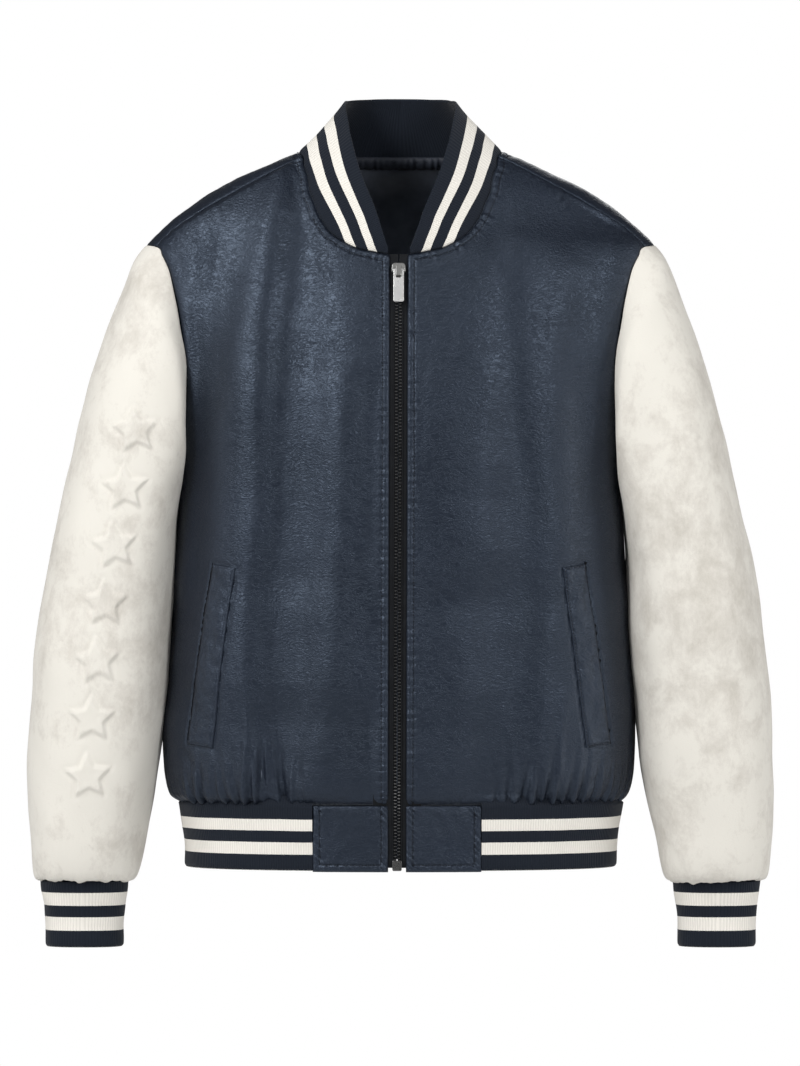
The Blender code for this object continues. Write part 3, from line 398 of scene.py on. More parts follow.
# Colours, in linear red, green and blue
LEATHER_DARK = (0.0040, 0.0056, 0.0106)
LEATHER_LIGHT = (0.0072, 0.0096, 0.0172)
LEATHER_TINT = (0.62, 0.77, 1.0)    # of its shine
LEATHER_GLOSS = 0.58
CREASE_WIDE = 0.022                 # of the leather's noise, from a crease's middle to its edge
SUEDE_LIGHT = (0.712, 0.686, 0.626)
SUEDE_MIDDLE = (0.640, 0.610, 0.555)
SUEDE_DARK = (0.55, 0.52, 0.465)
RIB_NAVY = (0.0088, 0.0124, 0.0200)
RIB_CREAM = (0.78, 0.75, 0.69)
PlainLook = namedtuple(
    "PlainLook", "key name colour roughness scale strength metallic gloss squash")
PLAIN_LOOKS = rows_of(
    PlainLook,
    # painted light: the black satin's colour is lifted far above black to make up for light that
    # hardly reaches inside
    ("satin", "black_satin_look", (0.092, 0.110, 0.146), 0.50, 900.0, 0.15, 0.0, 0.3, 1),
    ("roll", "neck_tape_look", (0.024, 0.029, 0.042), 0.60, 900.0, 0.4, 0.0, 0.25, 1),
    ("tape", "zip_tape_look", (0.009, 0.010, 0.012), 0.85, 1400.0, 0.5, 0.0, 0.15, 2),
    ("gunmetal", "zip_metal_look", (0.22, 0.22, 0.22), 0.28, 600.0, 0.02, 1.0, 0.5, 1),
    ("bright", "bright_metal_look", (0.80, 0.80, 0.79), 0.26, 70.0, 0.0, 0.5, 0.5, 1),
    ("dull", "dull_metal_look", (0.36, 0.36, 0.35), 0.30, 70.0, 0.0, 0.8, 0.5, 1),
    ("thread", "thread_look", (0.004, 0.005, 0.009), 0.7, 2000.0, 0.3, 0.0, 0.3, 1),
    # painted shade for the pockets' slits
    ("dark", "slit_look", (0.004, 0.005, 0.007), 0.8, 900.0, 0.2, 0.0, 0.1, 1),
)

# Camera and studio
CAMERA_PLACE = (-0.0005, -6.0, -0.364)
CAMERA_LENS = 213.3
FLOOR_Z = -1.45
FLOOR_RADIUS = 3.5
AMBIENT = 0.11
LAMP_AIM = (0.0, 0.0, -0.30)
Lamp = namedtuple("Lamp", "name place size power")
LAMPS = rows_of(
    Lamp,
    ("key_light", (-2.5, -3.4, 1.5), (0.8, 2.2), 108),
    ("second_light", (2.3, -3.3, 1.2), (0.6, 2.2), 70),
    ("top_light", (-0.3, -1.5, 2.4), (2.4, 0.7), 14),
    ("upper_light", (-2.2, -1.8, 2.5), (0.9, 0.9), 42),
    ("left_light", (-3.0, -0.6, 0.0), (1.0, 3.0), 13),
    ("right_light", (3.0, -0.6, 0.0), (1.0, 3.0), 30),
    ("back_light", (0.4, 3.4, 1.2), (1.6, 2.0), 24),
)

Cut = namedtuple("Cut", "width length area rests_on")    # each piece of cloth, flat, in metres
SIDES = (("left", 1), ("right", -1))     # the wearer's left is at +X


# Curves and surfaces --------------------------------------------------------------------

def column(table, name):
    return np.array([getattr(row, name) for row in table], dtype=float)


def smooth(table, name, at, key):
    """A column of a table, read on a smooth curve through its rows."""
    keys, values = column(table, key), column(table, name)
    slopes = np.gradient(values, keys)
    row = np.clip(np.searchsorted(keys, at) - 1, 0, len(keys) - 2)
    span = keys[row + 1] - keys[row]
    t = np.clip((at - keys[row]) / span, 0.0, 1.0)
    return blend_rows(values[row], values[row + 1], slopes[row] * span, slopes[row + 1] * span, t)


def blend_rows(start, end, start_slope, end_slope, t):
    """A smooth curve from one row to the next; the slopes are per row and t is 0 to 1."""
    first = start * (1 + 2 * t) * (1 - t) ** 2 + start_slope * t * (1 - t) ** 2
    return first + (end * (3 - 2 * t) * t ** 2 + end_slope * (t - 1) * t ** 2)


def bulge(cosine):
    """Turn a sine or cosine into its place on a squarish section."""
    return np.sign(cosine) * np.abs(cosine) ** (2 / SQUARENESS)


def ring_point(table, turn, z):
    """Points on a tube of oval sections, at turns round it and at heights."""
    turn, z = np.broadcast_arrays(np.asarray(turn, float), np.asarray(z, float))
    angle = np.radians(turn)
    across, ahead = bulge(np.sin(angle)), bulge(np.cos(angle))
    depth = np.where(ahead > 0, smooth(table, "front", z, "z"), smooth(table, "back", z, "z"))
    x = smooth(table, "half_width", z, "z") * across
    y = smooth(table, "middle", z, "z") - depth * ahead
    return np.stack([x, y, z], axis=-1)


def turn_at(table, x, z):
    """The turn, from centre front, of the point at a distance x on the front side."""
    share = np.clip(np.abs(x) / smooth(table, "half_width", z, "z"), 0.0, 1.0)
    return np.degrees(np.arcsin(share ** (SQUARENESS / 2))) * np.sign(x)


def front_point(x, z):
    """Points on the front of the body, or of the hem below it."""
    x, z = np.broadcast_arrays(np.asarray(x, float), np.asarray(z, float))
    body = ring_point(BODY, turn_at(BODY, x, np.maximum(z, HEM_SEAM_Z)), z)
    hem = ring_point(HEM, turn_at(HEM, x, np.minimum(z, HEM_SEAM_Z)), z)
    return np.where((z > HEM_SEAM_Z)[..., None], body, hem)


def armhole_point(around):
    """Points of the armhole seam: around is 0 on the ridge, above 0 in front, 180 at the armpit."""
    around = np.asarray(around, float)
    level = np.cos(np.radians(around))
    z = (SHOULDER_TIP_Z + ARMPIT_Z) / 2 + level * (SHOULDER_TIP_Z - ARMPIT_Z) / 2
    front = 90 - smooth(ARMHOLE, "front_turn", np.abs(around), "around")
    back = 90 + smooth(ARMHOLE, "back_turn", np.abs(around), "around")
    return ring_point(BODY, np.where(around > 0, front, back), z)


BLADE_Y = 0.0              # the axis that the rays over the shoulder rise from
BLADE_Z = float(armhole_point(-BLADE_AROUND)[2])


def direction(vectors):
    return vectors / np.linalg.norm(vectors, axis=-1, keepdims=True)


def swell(points):
    """How far points lie out of the body, or of the hem below it: 0 on the surface."""
    x, y, z = np.moveaxis(points, -1, 0)
    levels = []
    for table in (BODY, HEM):
        ahead = y - smooth(table, "middle", z, "z")
        depth = np.where(ahead < 0, smooth(table, "front", z, "z"), smooth(table, "back", z, "z"))
        share = np.abs(x / smooth(table, "half_width", z, "z"))
        levels.append(share ** SQUARENESS + np.abs(ahead / depth) ** SQUARENESS - 1)
    return np.where(z > HEM_SEAM_Z, *levels)


def body_normal(points):
    steps = np.eye(3) * STEP
    slopes = [swell(points + step) - swell(points - step) for step in steps]
    return direction(np.stack(slopes, axis=-1))


def over_shoulder(x, rise):
    """Points of the body at a distance x, on rays that rise from the blade's level: 0 is back."""
    angle = np.radians(rise)
    near, far = np.zeros_like(angle), np.full_like(angle, 0.30)
    for _ in range(40):
        reach = (near + far) / 2
        y, z = BLADE_Y + reach * np.cos(angle), BLADE_Z + reach * np.sin(angle)
        points = np.stack([x + 0 * angle, y, z], axis=-1)
        outside = swell(points) > 0
        far = np.where(outside, reach, far)
        near = np.where(outside, near, reach)
    return points


def rise_of(points):
    """Distance x and rise of points, as over_shoulder takes them."""
    rise = np.degrees(np.arctan2(points[..., 2] - BLADE_Z, points[..., 1] - BLADE_Y))
    return np.stack([points[..., 0], rise], axis=-1)


def coons(bottom, top, left, right, u, v):
    """Fill four edges with a smooth net; each edge is a function of its own share 0 to 1."""
    share_u, share_v = u[..., None], v[..., None]
    zero, one = np.zeros_like(u), np.ones_like(u)
    across = (1 - share_u) * left(v) + share_u * right(v)
    along = (1 - share_v) * bottom(u) + share_v * top(u)
    corners = ((1 - share_u) * (1 - share_v) * bottom(zero) + share_u * (1 - share_v) * bottom(one)
               + (1 - share_u) * share_v * top(zero) + share_u * share_v * top(one))
    return across + along - corners


def seam_pair(table, along):
    return np.stack([smooth(table, "turn", along, "along"), smooth(table, "z", along, "along")], -1)


def zip_middle(z):
    share = np.clip(z / HEM_SEAM_Z, 0, 1)
    return ZIP_LEAN[0] + (ZIP_LEAN[1] - ZIP_LEAN[0]) * share


# Patches of cloth -----------------------------------------------------------------------

def neck_pair(side, share):
    """Turn and height of one side's neck seam, which leans with the zip towards the front."""
    turn, z = np.moveaxis(seam_pair(NECK, share), -1, 0)
    lean = side * ZIP_LEAN[0] * np.clip(1 - share / NECK_SHOULDER, 0, 1)
    leaning = turn_at(BODY, ring_point(BODY, turn, z)[..., 0] + lean, z)
    return np.stack([np.where(share < NECK_SHOULDER, leaning, turn), z], -1)


def front_top(side, u):
    """Turn and height of a front's top edge: the neck seam, then the shoulder seam."""
    under_neck = neck_pair(side, np.clip(u / NECK_U, 0, 1) * NECK_SHOULDER)
    under_seam = seam_pair(SHOULDER, np.clip((u - NECK_U) / (1 - NECK_U), 0, 1))
    return np.where((u < NECK_U)[..., None], under_neck, under_seam)


def front_side(v):
    """Turn and height of a front's outer edge: the side seam, then the armhole."""
    side_z = HEM_SEAM_Z + (ARMPIT_Z - HEM_SEAM_Z) * np.clip(v / PIT_V, 0, 1)
    share = np.clip((v - PIT_V) / (1 - PIT_V), 0, 1)
    around = 180 - (180 - TIP_AROUND) * share
    turn = SIDE_TURN - smooth(ARMHOLE, "front_turn", around, "around")
    z = np.where(v < PIT_V, side_z, armhole_point(around)[..., 2])
    return np.stack([turn, z], -1)


def front_surface(side, u, v):
    """A front: u from the zip to the side, v from the hem to the neck and shoulder seams."""
    def edge(v):
        z = HEM_SEAM_Z + (EDGE_TOP_Z - HEM_SEAM_Z) * v
        return np.stack([turn_at(BODY, OPENING + side * zip_middle(z), z), z], -1)

    def hem(u):
        turn = edge(np.zeros_like(u))[..., 0] * (1 - u) + SIDE_TURN * u
        return np.stack([turn, np.full_like(u, HEM_SEAM_Z)], -1)

    def top(u):
        to_edge = edge(np.ones_like(u)) - front_top(side, np.zeros_like(u))
        first_column = np.clip(1 - u * NECK_COLUMNS / NECK_U, 0, 1)[..., None]
        return front_top(side, u) + to_edge * first_column

    place = coons(hem, top, edge, front_side, u, v)
    points = ring_point(BODY, place[..., 0], place[..., 1])
    points[..., 0] *= side
    return points


def back_surface(u, v):
    """The back: u from -1 at the wearer's right to 1 at the left, v from the hem up and over."""
    side, u = np.where(u < 0, -1.0, 1.0), np.abs(u)
    side_z = HEM_SEAM_Z + (ARMPIT_Z - HEM_SEAM_Z) * np.clip(v / PIT_V, 0, 1)
    around = 180 - (180 - BLADE_AROUND) * np.clip((v - PIT_V) / (BLADE_V - PIT_V), 0, 1)
    edge_turn = SIDE_TURN + smooth(ARMHOLE, "back_turn", around, "around")
    z = np.where(v < PIT_V, side_z, armhole_point(-around)[..., 2])
    lower = ring_point(BODY, 180 + (edge_turn - 180) * u, z)

    blade_turn = SIDE_TURN + float(smooth(ARMHOLE, "back_turn", BLADE_AROUND, "around"))

    def bottom(u):
        return rise_of(ring_point(BODY, 180 + (blade_turn - 180) * u, BLADE_Z))

    def centre(w):
        return np.stack([0 * w, w * rise_of(ring_point(BODY, 180.0, NECK[-1].z))[1]], -1)

    def armhole(w):
        share = w * (1 - BLADE_V)
        to_ridge = np.clip(share / (RIDGE_V - BLADE_V), 0, 1) * BLADE_AROUND - BLADE_AROUND
        past = np.clip((share - (RIDGE_V - BLADE_V)) / (1 - RIDGE_V), 0, 1) * TIP_AROUND
        return rise_of(armhole_point(to_ridge + past))

    def top(u):
        neck = seam_pair(NECK, 1 - np.clip(u / BACK_NECK_U, 0, 1) * (1 - NECK_SHOULDER))
        seam = seam_pair(SHOULDER, np.clip((u - BACK_NECK_U) / (1 - BACK_NECK_U), 0, 1))
        pair = np.where((u < BACK_NECK_U)[..., None], neck, seam)
        return rise_of(ring_point(BODY, pair[..., 0], pair[..., 1]))

    w = np.clip((v - BLADE_V) / (1 - BLADE_V), 0, 1)
    place = coons(bottom, top, centre, armhole, u, w)
    upper = over_shoulder(place[..., 0], place[..., 1])
    points = np.where((v <= BLADE_V)[..., None], lower, upper)
    points[..., 0] *= side
    return points


def sleeve_section(section, around):
    """Points of one sleeve section; around is 0 at its outer side and 90 in front."""
    angle = np.radians(around)
    reach, ahead = bulge(np.cos(angle)), bulge(np.sin(angle))
    x = (section.outer_x + section.inner_x) / 2 + reach * (section.outer_x - section.inner_x) / 2
    z = (section.outer_z + section.inner_z) / 2 + reach * (section.outer_z - section.inner_z) / 2
    x = x - section.bow * np.sin(angle) ** 2
    return np.stack([x, section.middle - section.half_depth * ahead, z], axis=-1)


def sleeve_surface(side, around, along):
    """A sleeve: along is 0 at the armhole seam and 1 at the cuff seam."""
    sections = [armhole_point(around)] + [sleeve_section(section, around) for section in SLEEVE]
    sections = np.stack(sections)
    slopes = np.gradient(sections, axis=0)
    place = np.clip(along * len(SLEEVE), 0, len(SLEEVE))
    row = np.minimum(place.astype(int), len(SLEEVE) - 1)
    t = (place - row)[..., None]
    pick = (row,) + tuple(np.indices(row.shape))
    after = (row + 1,) + tuple(np.indices(row.shape))
    points = blend_rows(sections[pick], sections[after], slopes[pick], slopes[after], t)
    points[..., 0] *= side
    return points


def neck_point(along):
    """Points of the whole neck seam: along from -1 at the zip's right, by 0 at the back, to 1."""
    side = np.where(along < 0, -1.0, 1.0)
    pair = neck_pair(side, 1 - np.abs(along))
    points = ring_point(BODY, pair[..., 0], pair[..., 1])
    points[..., 0] *= side
    return points


def collar_edge_point(along):
    share = 1 - np.abs(along)
    x, y, z = (smooth(COLLAR_EDGE, name, share, "along") for name in "xyz")
    x = x * np.where(along < 0, -1.0, 1.0) + ZIP_LEAN[0] * np.clip(1 - share / NECK_SHOULDER, 0, 1)
    return np.stack([x, y, z], axis=-1)


def collar_surface(along, up):
    """The collar: up is 0 at the neck seam and 1 at the free edge."""
    share = np.asarray(up)[..., None]
    return neck_point(along) * (1 - share) + collar_edge_point(along) * share


def outward(surface, u, v, closed):
    """Unit normals of a surface whose columns run to the right and rows up, seen from outside."""
    reach = np.inf if closed else 0.0
    step = STEP * np.ptp(u)
    right, left = np.minimum(u + step, u.max() + reach), np.maximum(u - step, u.min() - reach)
    step = STEP * np.ptp(v)
    above, below = np.minimum(v + step, v.max()), np.maximum(v - step, v.min())
    along = direction(surface(right, v) - surface(left, v))
    return direction(np.cross(along, direction(surface(u, above) - surface(u, below))))


# Tools for the visible surfaces ---------------------------------------------------------


def graded(length, margin, fine, coarse):
    """Shares 0 to 1 along a length, closer together near both ends."""
    edge = np.arange(0, margin, fine)
    count = max(int(np.ceil((length - 2 * margin) / coarse)), 1)
    middle = np.linspace(margin, length - margin, count + 1)
    return np.concatenate([edge, middle, (length - edge)[::-1]]) / length


def lengths(line):
    """Length along a line of points, at each of them."""
    return np.concatenate([[0], np.cumsum(np.linalg.norm(np.diff(line, axis=0), axis=1))])


def at_places(line, length, places):
    return np.stack([np.interp(places, length, line[:, k]) for k in range(3)], -1)


def resampled(line, step):
    """A line of points at even steps, and the lengths along it."""
    length = lengths(line)
    places = np.arange(0, length[-1], step)
    return at_places(line, length, places), places


def near(points, line):
    """Distance from each point to a line, and the length along the line to its nearest point."""
    dense, places = resampled(line, LINE_STEP)
    tree = KDTree(len(dense))
    for index, point in enumerate(dense):
        tree.insert(point, index)
    tree.balance()
    found = np.array([tree.find(point)[1:] for point in points.reshape(-1, 3)])
    shape = points.shape[:-1]
    return found[:, 1].reshape(shape), places[found[:, 0].astype(int)].reshape(shape)


def smoothed(grid, rounds):
    """A grid whose inner points are averaged with their neighbours, again and again."""
    grid = grid.copy()
    for _ in range(rounds):
        beside = grid[:-2, 1:-1] + grid[2:, 1:-1] + grid[1:-1, :-2] + grid[1:-1, 2:]
        grid[1:-1, 1:-1] = grid[1:-1, 1:-1] / 2 + beside / 8
    return grid


def segment_distance(x, z, start, end):
    """Distance from points of a plane to a segment."""
    along, up = end[0] - start[0], end[1] - start[1]
    from_x, from_z = x - start[0], z - start[1]
    share = np.clip((from_x * along + from_z * up) / (along ** 2 + up ** 2), 0, 1)
    return np.hypot(from_x - share * along, from_z - share * up)


def ease(value, low, high):
    """0 below low, 1 above high and smooth between."""
    share = np.clip((value - low) / (high - low), 0, 1)
    return share * share * (3 - 2 * share)


def bell(value, middle, width):
    return np.exp(-((value - middle) / width) ** 2)


def stations(start, end, margin, fine, coarse):
    """Values from start to end, closer together near both."""
    return start + graded(end - start, margin, fine, coarse) * (end - start)


def wobble(points, size, seed, waves=9):
    """Smooth random waves of about a given size, mostly between -1 and 1."""
    pick = np.random.default_rng(seed)
    total = np.zeros(points.shape[:-1])
    for _ in range(waves):
        way = direction(pick.normal(size=points.shape[-1]))
        rate = 2 * np.pi / size * pick.uniform(0.6, 1.5)
        total += np.sin(points @ way * rate + pick.uniform(0, 2 * np.pi))
    return total / np.sqrt(waves)


def ripple(place, size, seed):
    """Smooth random waves along a line, from the lengths along it."""
    return wobble(place[..., None], size, seed)


def fold_height(points, table):
    """Sum of the folds of a table, whose sizes are in millimetres, in the plane of the front."""
    x, z = points[..., 0] * 1000, points[..., 2] * 1000
    total = np.zeros_like(x)
    for height, width, path in table:
        least = np.full_like(x, np.inf)
        for start, end in zip(path[:-1], path[1:]):
            least = np.minimum(least, segment_distance(x, z, start, end))
        total += height * bell(least, 0, width)
    return total / 1000


def ramp_height(points, table):
    """Sum of the flanks of a table: each is a step whose middle follows a path down the front."""
    x, z = points[..., 0] * 1000, points[..., 2] * 1000
    total = np.zeros_like(x)
    for rise, width, path in table:
        down = np.array(path)[::-1]
        low, high = down[0, 1], down[-1, 1]
        middle = np.interp(z, down[:, 1], down[:, 0])
        inside = ease(z, low - RAMP_FADE, low) * (1 - ease(z, high, high + RAMP_FADE))
        same = ease(np.sign(down[0, 0]) * x, 0.0, 14.0)
        total += rise / 2 * np.tanh((x - middle) / width) * inside * same
    return total / 1000


def puckers(distance, place, seed):
    """Small dimples along a row of stitches beside an edge."""
    swing = ripple(place, 0.030, seed)
    wave = np.sin(2 * np.pi * place / PUCKER_STEP + 1.6 * swing)
    wave = wave + 0.6 * ripple(place, 0.011, seed + 1)
    band = bell(distance, STITCH_IN * 0.75, STITCH_IN * 0.75) * (0.65 + 0.35 * swing)
    return PUCKER * wave * band


def topstitched(distance, place, seed):
    """Relief of an edge that is sewn down by a row of stitches beside it."""
    edge = 0.0005 * ease(distance, 0.0005, 0.002)
    edge = edge * (1 - ease(distance, STITCH_IN - 0.0015, STITCH_IN))
    return edge - GROOVE * bell(distance, STITCH_IN, 0.0008) + puckers(distance, place, seed)


def raised(points, normals, relief):
    return points + normals * relief[..., None]


def rimmed(points, normals, depth, closed=False):
    """A grid with one more row, and column, past each free edge, turned in by a depth."""
    def beyond(edge, edge_normals, inner):
        return edge - edge_normals * depth + direction(inner - edge) * depth * 0.15

    points = np.concatenate([beyond(points[0], normals[0], points[1])[None], points,
                             beyond(points[-1], normals[-1], points[-2])[None]])
    if closed:
        return points
    normals = np.concatenate([normals[:1], normals, normals[-1:]])
    left = beyond(points[:, 0], normals[:, 0], points[:, 1])
    right = beyond(points[:, -1], normals[:, -1], points[:, -2])
    return np.concatenate([left[:, None], points, right[:, None]], axis=1)


def grid_mesh(name, points, uv=None, closed=False):
    """A mesh of four-sided cells; its columns run to the right and its rows up, seen outside."""
    rows, columns = points.shape[:2]
    index = np.arange(rows * columns).reshape(rows, columns)
    if uv is None:
        across = np.linalg.norm(np.diff(points, axis=1), axis=2).mean(0)
        up = np.linalg.norm(np.diff(points, axis=0), axis=2).mean(1)
        across = np.concatenate([[0], np.cumsum(across)])
        if closed:
            across = np.append(across, across[-1] + across[-1] / (columns - 1))
        uv = np.stack(np.meshgrid(across, np.concatenate([[0], np.cumsum(up)])), -1)
    label = np.arange(uv.shape[0] * uv.shape[1]).reshape(uv.shape[:2])
    if closed:
        index = np.concatenate([index, index[:, :1]], axis=1)
    corners = [index[:-1, :-1], index[:-1, 1:], index[1:, 1:], index[1:, :-1]]
    faces = np.stack(corners, -1).reshape(-1, 4)
    places = [label[:-1, :-1], label[:-1, 1:], label[1:, 1:], label[1:, :-1]]
    mesh = bpy.data.meshes.new(name)
    mesh.from_pydata(points.reshape(-1, 3).tolist(), [], faces.tolist())
    layer = mesh.uv_layers.new(name="Cut")
    layer.uv.foreach_set("vector", uv.reshape(-1, 2)[np.stack(places, -1).reshape(-1)].ravel())
    mesh.shade_smooth()
    return mesh


def linked(name, data):
    made = bpy.data.objects.new(name, data)
    bpy.context.collection.objects.link(made)
    return made


def add_piece(mesh, look, node, body="garment"):
    """Show a mesh as the piece of its name, in place of a CAD node where it has one."""
    mesh.materials.append(look)
    made = linked(mesh.name, mesh)
    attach(made, body)
    if node:
        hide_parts(node)


def tree_of(mesh):
    corners = [tuple(face.vertices) for face in mesh.polygons]
    return BVHTree.FromPolygons([vertex.co for vertex in mesh.vertices], corners)


def laid_on(tree, line):
    """A line moved onto a surface, and the surface's normals along it."""
    found = [tree.find_nearest(Vector(point)) for point in line]
    return np.array([spot[0] for spot in found]), np.array([spot[1] for spot in found])


def faced(name, points, faces):
    mesh = bpy.data.meshes.new(name)
    mesh.from_pydata([tuple(point) for point in points], [], faces)
    return mesh


def stitch_mesh(name, rows):
    """One mesh of short stitches along lines that lie on a surface."""
    sides = 6
    ring = np.radians(np.arange(0, 360, 360 // sides))
    profile = ((-0.5, 0.15), (-0.40, 0.85), (0.0, 1.0), (0.40, 0.85), (0.5, 0.15))
    points, faces = [], []
    for line, normals in rows:
        length = lengths(line)
        places = np.arange(STITCH_STEP / 2, length[-1] - STITCH_STEP / 2, STITCH_STEP)
        centres = at_places(line, length, places)
        up = direction(at_places(normals, length, places))
        way = direction(at_places(line, length, places + 0.0008) - centres)
        side = direction(np.cross(up, way))
        for centre, w, s, n in zip(centres, way, side, up):
            start = len(points)
            for along, wide in profile:
                arch = n * STITCH_WIDE * 0.2 * (1 - 4 * along ** 2)
                middle = centre + w * along * STITCH_LONG + arch
                for turn in ring:
                    spread = (s * math.cos(turn) + n * math.sin(turn)) * wide * STITCH_WIDE / 2
                    points.append(middle + spread)
            for level in range(len(profile) - 1):
                for k in range(sides):
                    a, b = start + level * sides + k, start + level * sides + (k + 1) % sides
                    faces.append((a, b, b + sides, a + sides))
            last = start + sides * (len(profile) - 1)
            faces.append(tuple(start + k for k in reversed(range(sides))))
            faces.append(tuple(last + k for k in range(sides)))
    mesh = faced(name, points, faces)
    mesh.shade_smooth()
    return mesh


# Looks ----------------------------------------------------------------------------------

def shade(name, **settings):
    """A new material, and functions that add its nodes and link them to the shader."""
    made = bpy.data.materials.new(name)
    made.use_nodes = True
    tree = made.node_tree
    shader = tree.nodes["Principled BSDF"]
    for key, value in settings.items():
        shader.inputs[key.replace("_", " ")].default_value = value

    def add(kind, links=None, **values):
        node = tree.nodes.new("ShaderNode" + kind)
        for key, value in values.items():
            setattr(node, key, value)
        for key, value in (links or {}).items():
            if isinstance(value, bpy.types.NodeSocket):
                tree.links.new(value, node.inputs[key])
            else:
                node.inputs[key].default_value = value
        return node

    def join(target, socket):
        tree.links.new(socket, shader.inputs[target])

    return made, add, join


def ramp_of(add, factor, stops):
    node = add("ValToRGB", {0: factor})
    points = node.color_ramp.elements
    points[0].position, points[1].position = stops[0][0], stops[-1][0]
    for place, _ in stops[1:-1]:
        points.new(place)
    for point, (_, colour) in zip(points, stops):
        point.color = (*colour, 1.0)
    return node.outputs["Color"]


def noise_of(add, place, scale, detail=3.0, stretch=(1, 1, 1), rough=0.55, warp=0.0):
    mapping = add("Mapping", {"Vector": place, "Scale": stretch})
    node = add("TexNoise", {"Vector": mapping.outputs[0], "Scale": scale, "Detail": detail,
                            "Roughness": rough, "Distortion": warp})
    return node.outputs["Fac"]


def mixed(add, factor, a, b, blend="MIX"):
    """Two colours mixed, by the colour sockets of a mix node."""
    return add("Mix", {0: factor, 6: a, 7: b}, data_type="RGBA", blend_type=blend).outputs[2]


def maths(add, operation, *values):
    return add("Math", dict(enumerate(values)), operation=operation).outputs[0]


def ranged(add, value, *ends):
    """A value mapped from one range to another; ends are from, from, to and to."""
    names = ("From Min", "From Max", "To Min", "To Max")
    return add("MapRange", {"Value": value, **dict(zip(names, ends))}).outputs[0]


def bump_of(add, height, strength, distance):
    return add("Bump", {"Height": height, "Strength": strength, "Distance": distance}).outputs[0]


def leather_look():
    """Pebbled leather, its grain pressed flatter along the height and broken by fine creases, with
    painted shade darkening the creases.
    """
    made, add, join = shade("navy_leather_look", Specular_IOR_Level=LEATHER_GLOSS,
                            Specular_Tint=(*LEATHER_TINT, 1.0))
    place = add("TexCoord").outputs["Object"]
    bend = add("TexNoise", {"Vector": place, "Scale": 95.0, "Detail": 3.0}).outputs["Color"]
    shift = add("VectorMath", {0: bend, 1: (0.5, 0.5, 0.5)}, operation="SUBTRACT").outputs[0]
    shift = add("VectorMath", {0: shift, "Scale": 0.009}, operation="SCALE").outputs[0]
    bent = add("VectorMath", {0: place, 1: shift}, operation="ADD").outputs[0]
    grain = add("Mapping", {"Vector": bent, "Scale": (1.0, 1.0, 2.0)}).outputs[0]
    pebble = add("TexVoronoi", {"Vector": grain, "Scale": 330.0, "Smoothness": 0.4},
                 feature="SMOOTH_F1").outputs["Distance"]
    small = add("TexVoronoi", {"Vector": grain, "Scale": 780.0}).outputs["Distance"]
    crease = noise_of(add, bent, 160.0, 4.0, (1.0, 1.0, 3.4), 0.6, 0.5)
    crease = maths(add, "ABSOLUTE", maths(add, "SUBTRACT", crease, 0.5))
    crease = maths(add, "MINIMUM", crease, 0.05)
    strong = ranged(add, noise_of(add, place, 22.0, 2.0), 0.35, 0.65, 0.55, 1.0)
    height = maths(add, "MULTIPLY_ADD", crease, 5.0, maths(add, "MULTIPLY", pebble, -0.8))
    height = maths(add, "MULTIPLY_ADD", small, -0.25, height)
    join("Normal", bump_of(add, maths(add, "MULTIPLY", height, strong), 0.5, 0.0008))
    tone = noise_of(add, place, 9.0, 3.0)
    colour = ramp_of(add, tone, ((0.30, LEATHER_DARK), (0.72, LEATHER_LIGHT)))
    # painted shade: the base colour is darkened in the grain's creases, where shade falls
    painted_crease_shade = ranged(add, crease, 0.0, CREASE_WIDE, 0.40, 1.0)
    join("Base Color", mixed(add, 1.0, colour, painted_crease_shade, "MULTIPLY"))
    rough = ranged(add, noise_of(add, place, 120.0, 3.0), 0.3, 0.7, 0.36, 0.41)
    join("Roughness", maths(add, "ADD", rough, ranged(add, crease, 0.0, CREASE_WIDE, 0.34, 0.0)))
    return made


def suede_look():
    """Off-white suede: soft mottling, fine specks and a nap."""
    made, add, join = shade("white_suede_look", Roughness=0.92, Specular_IOR_Level=0.15,
                            Sheen_Weight=0.15, Sheen_Roughness=0.5)
    place = add("TexCoord").outputs["Object"]
    patches = noise_of(add, place, 34.0, 9.0, (1, 1, 0.8), 0.68, 0.3)
    clouds = noise_of(add, place, 8.0, 2.0)
    blotch = maths(add, "MULTIPLY_ADD", clouds, 0.40, maths(add, "MULTIPLY", patches, 0.75))
    speck = noise_of(add, place, 300.0, 4.0, (1, 1, 0.7), 0.75)
    blotch = maths(add, "MULTIPLY_ADD", speck, 0.20, blotch)
    across = add("SeparateXYZ", {0: place}).outputs[0]
    blotch = maths(add, "ADD", blotch, ranged(add, across, -0.1, 0.1, -0.05, -0.03))
    stops = ((0.59, SUEDE_LIGHT), (0.68, SUEDE_MIDDLE), (0.80, SUEDE_DARK))
    join("Base Color", ramp_of(add, blotch, stops))
    nap, soft = noise_of(add, place, 700.0, 4.0), noise_of(add, place, 70.0, 3.0)
    join("Normal", bump_of(add, maths(add, "MULTIPLY_ADD", soft, 1.6, nap), 0.35, 0.0005))
    return made


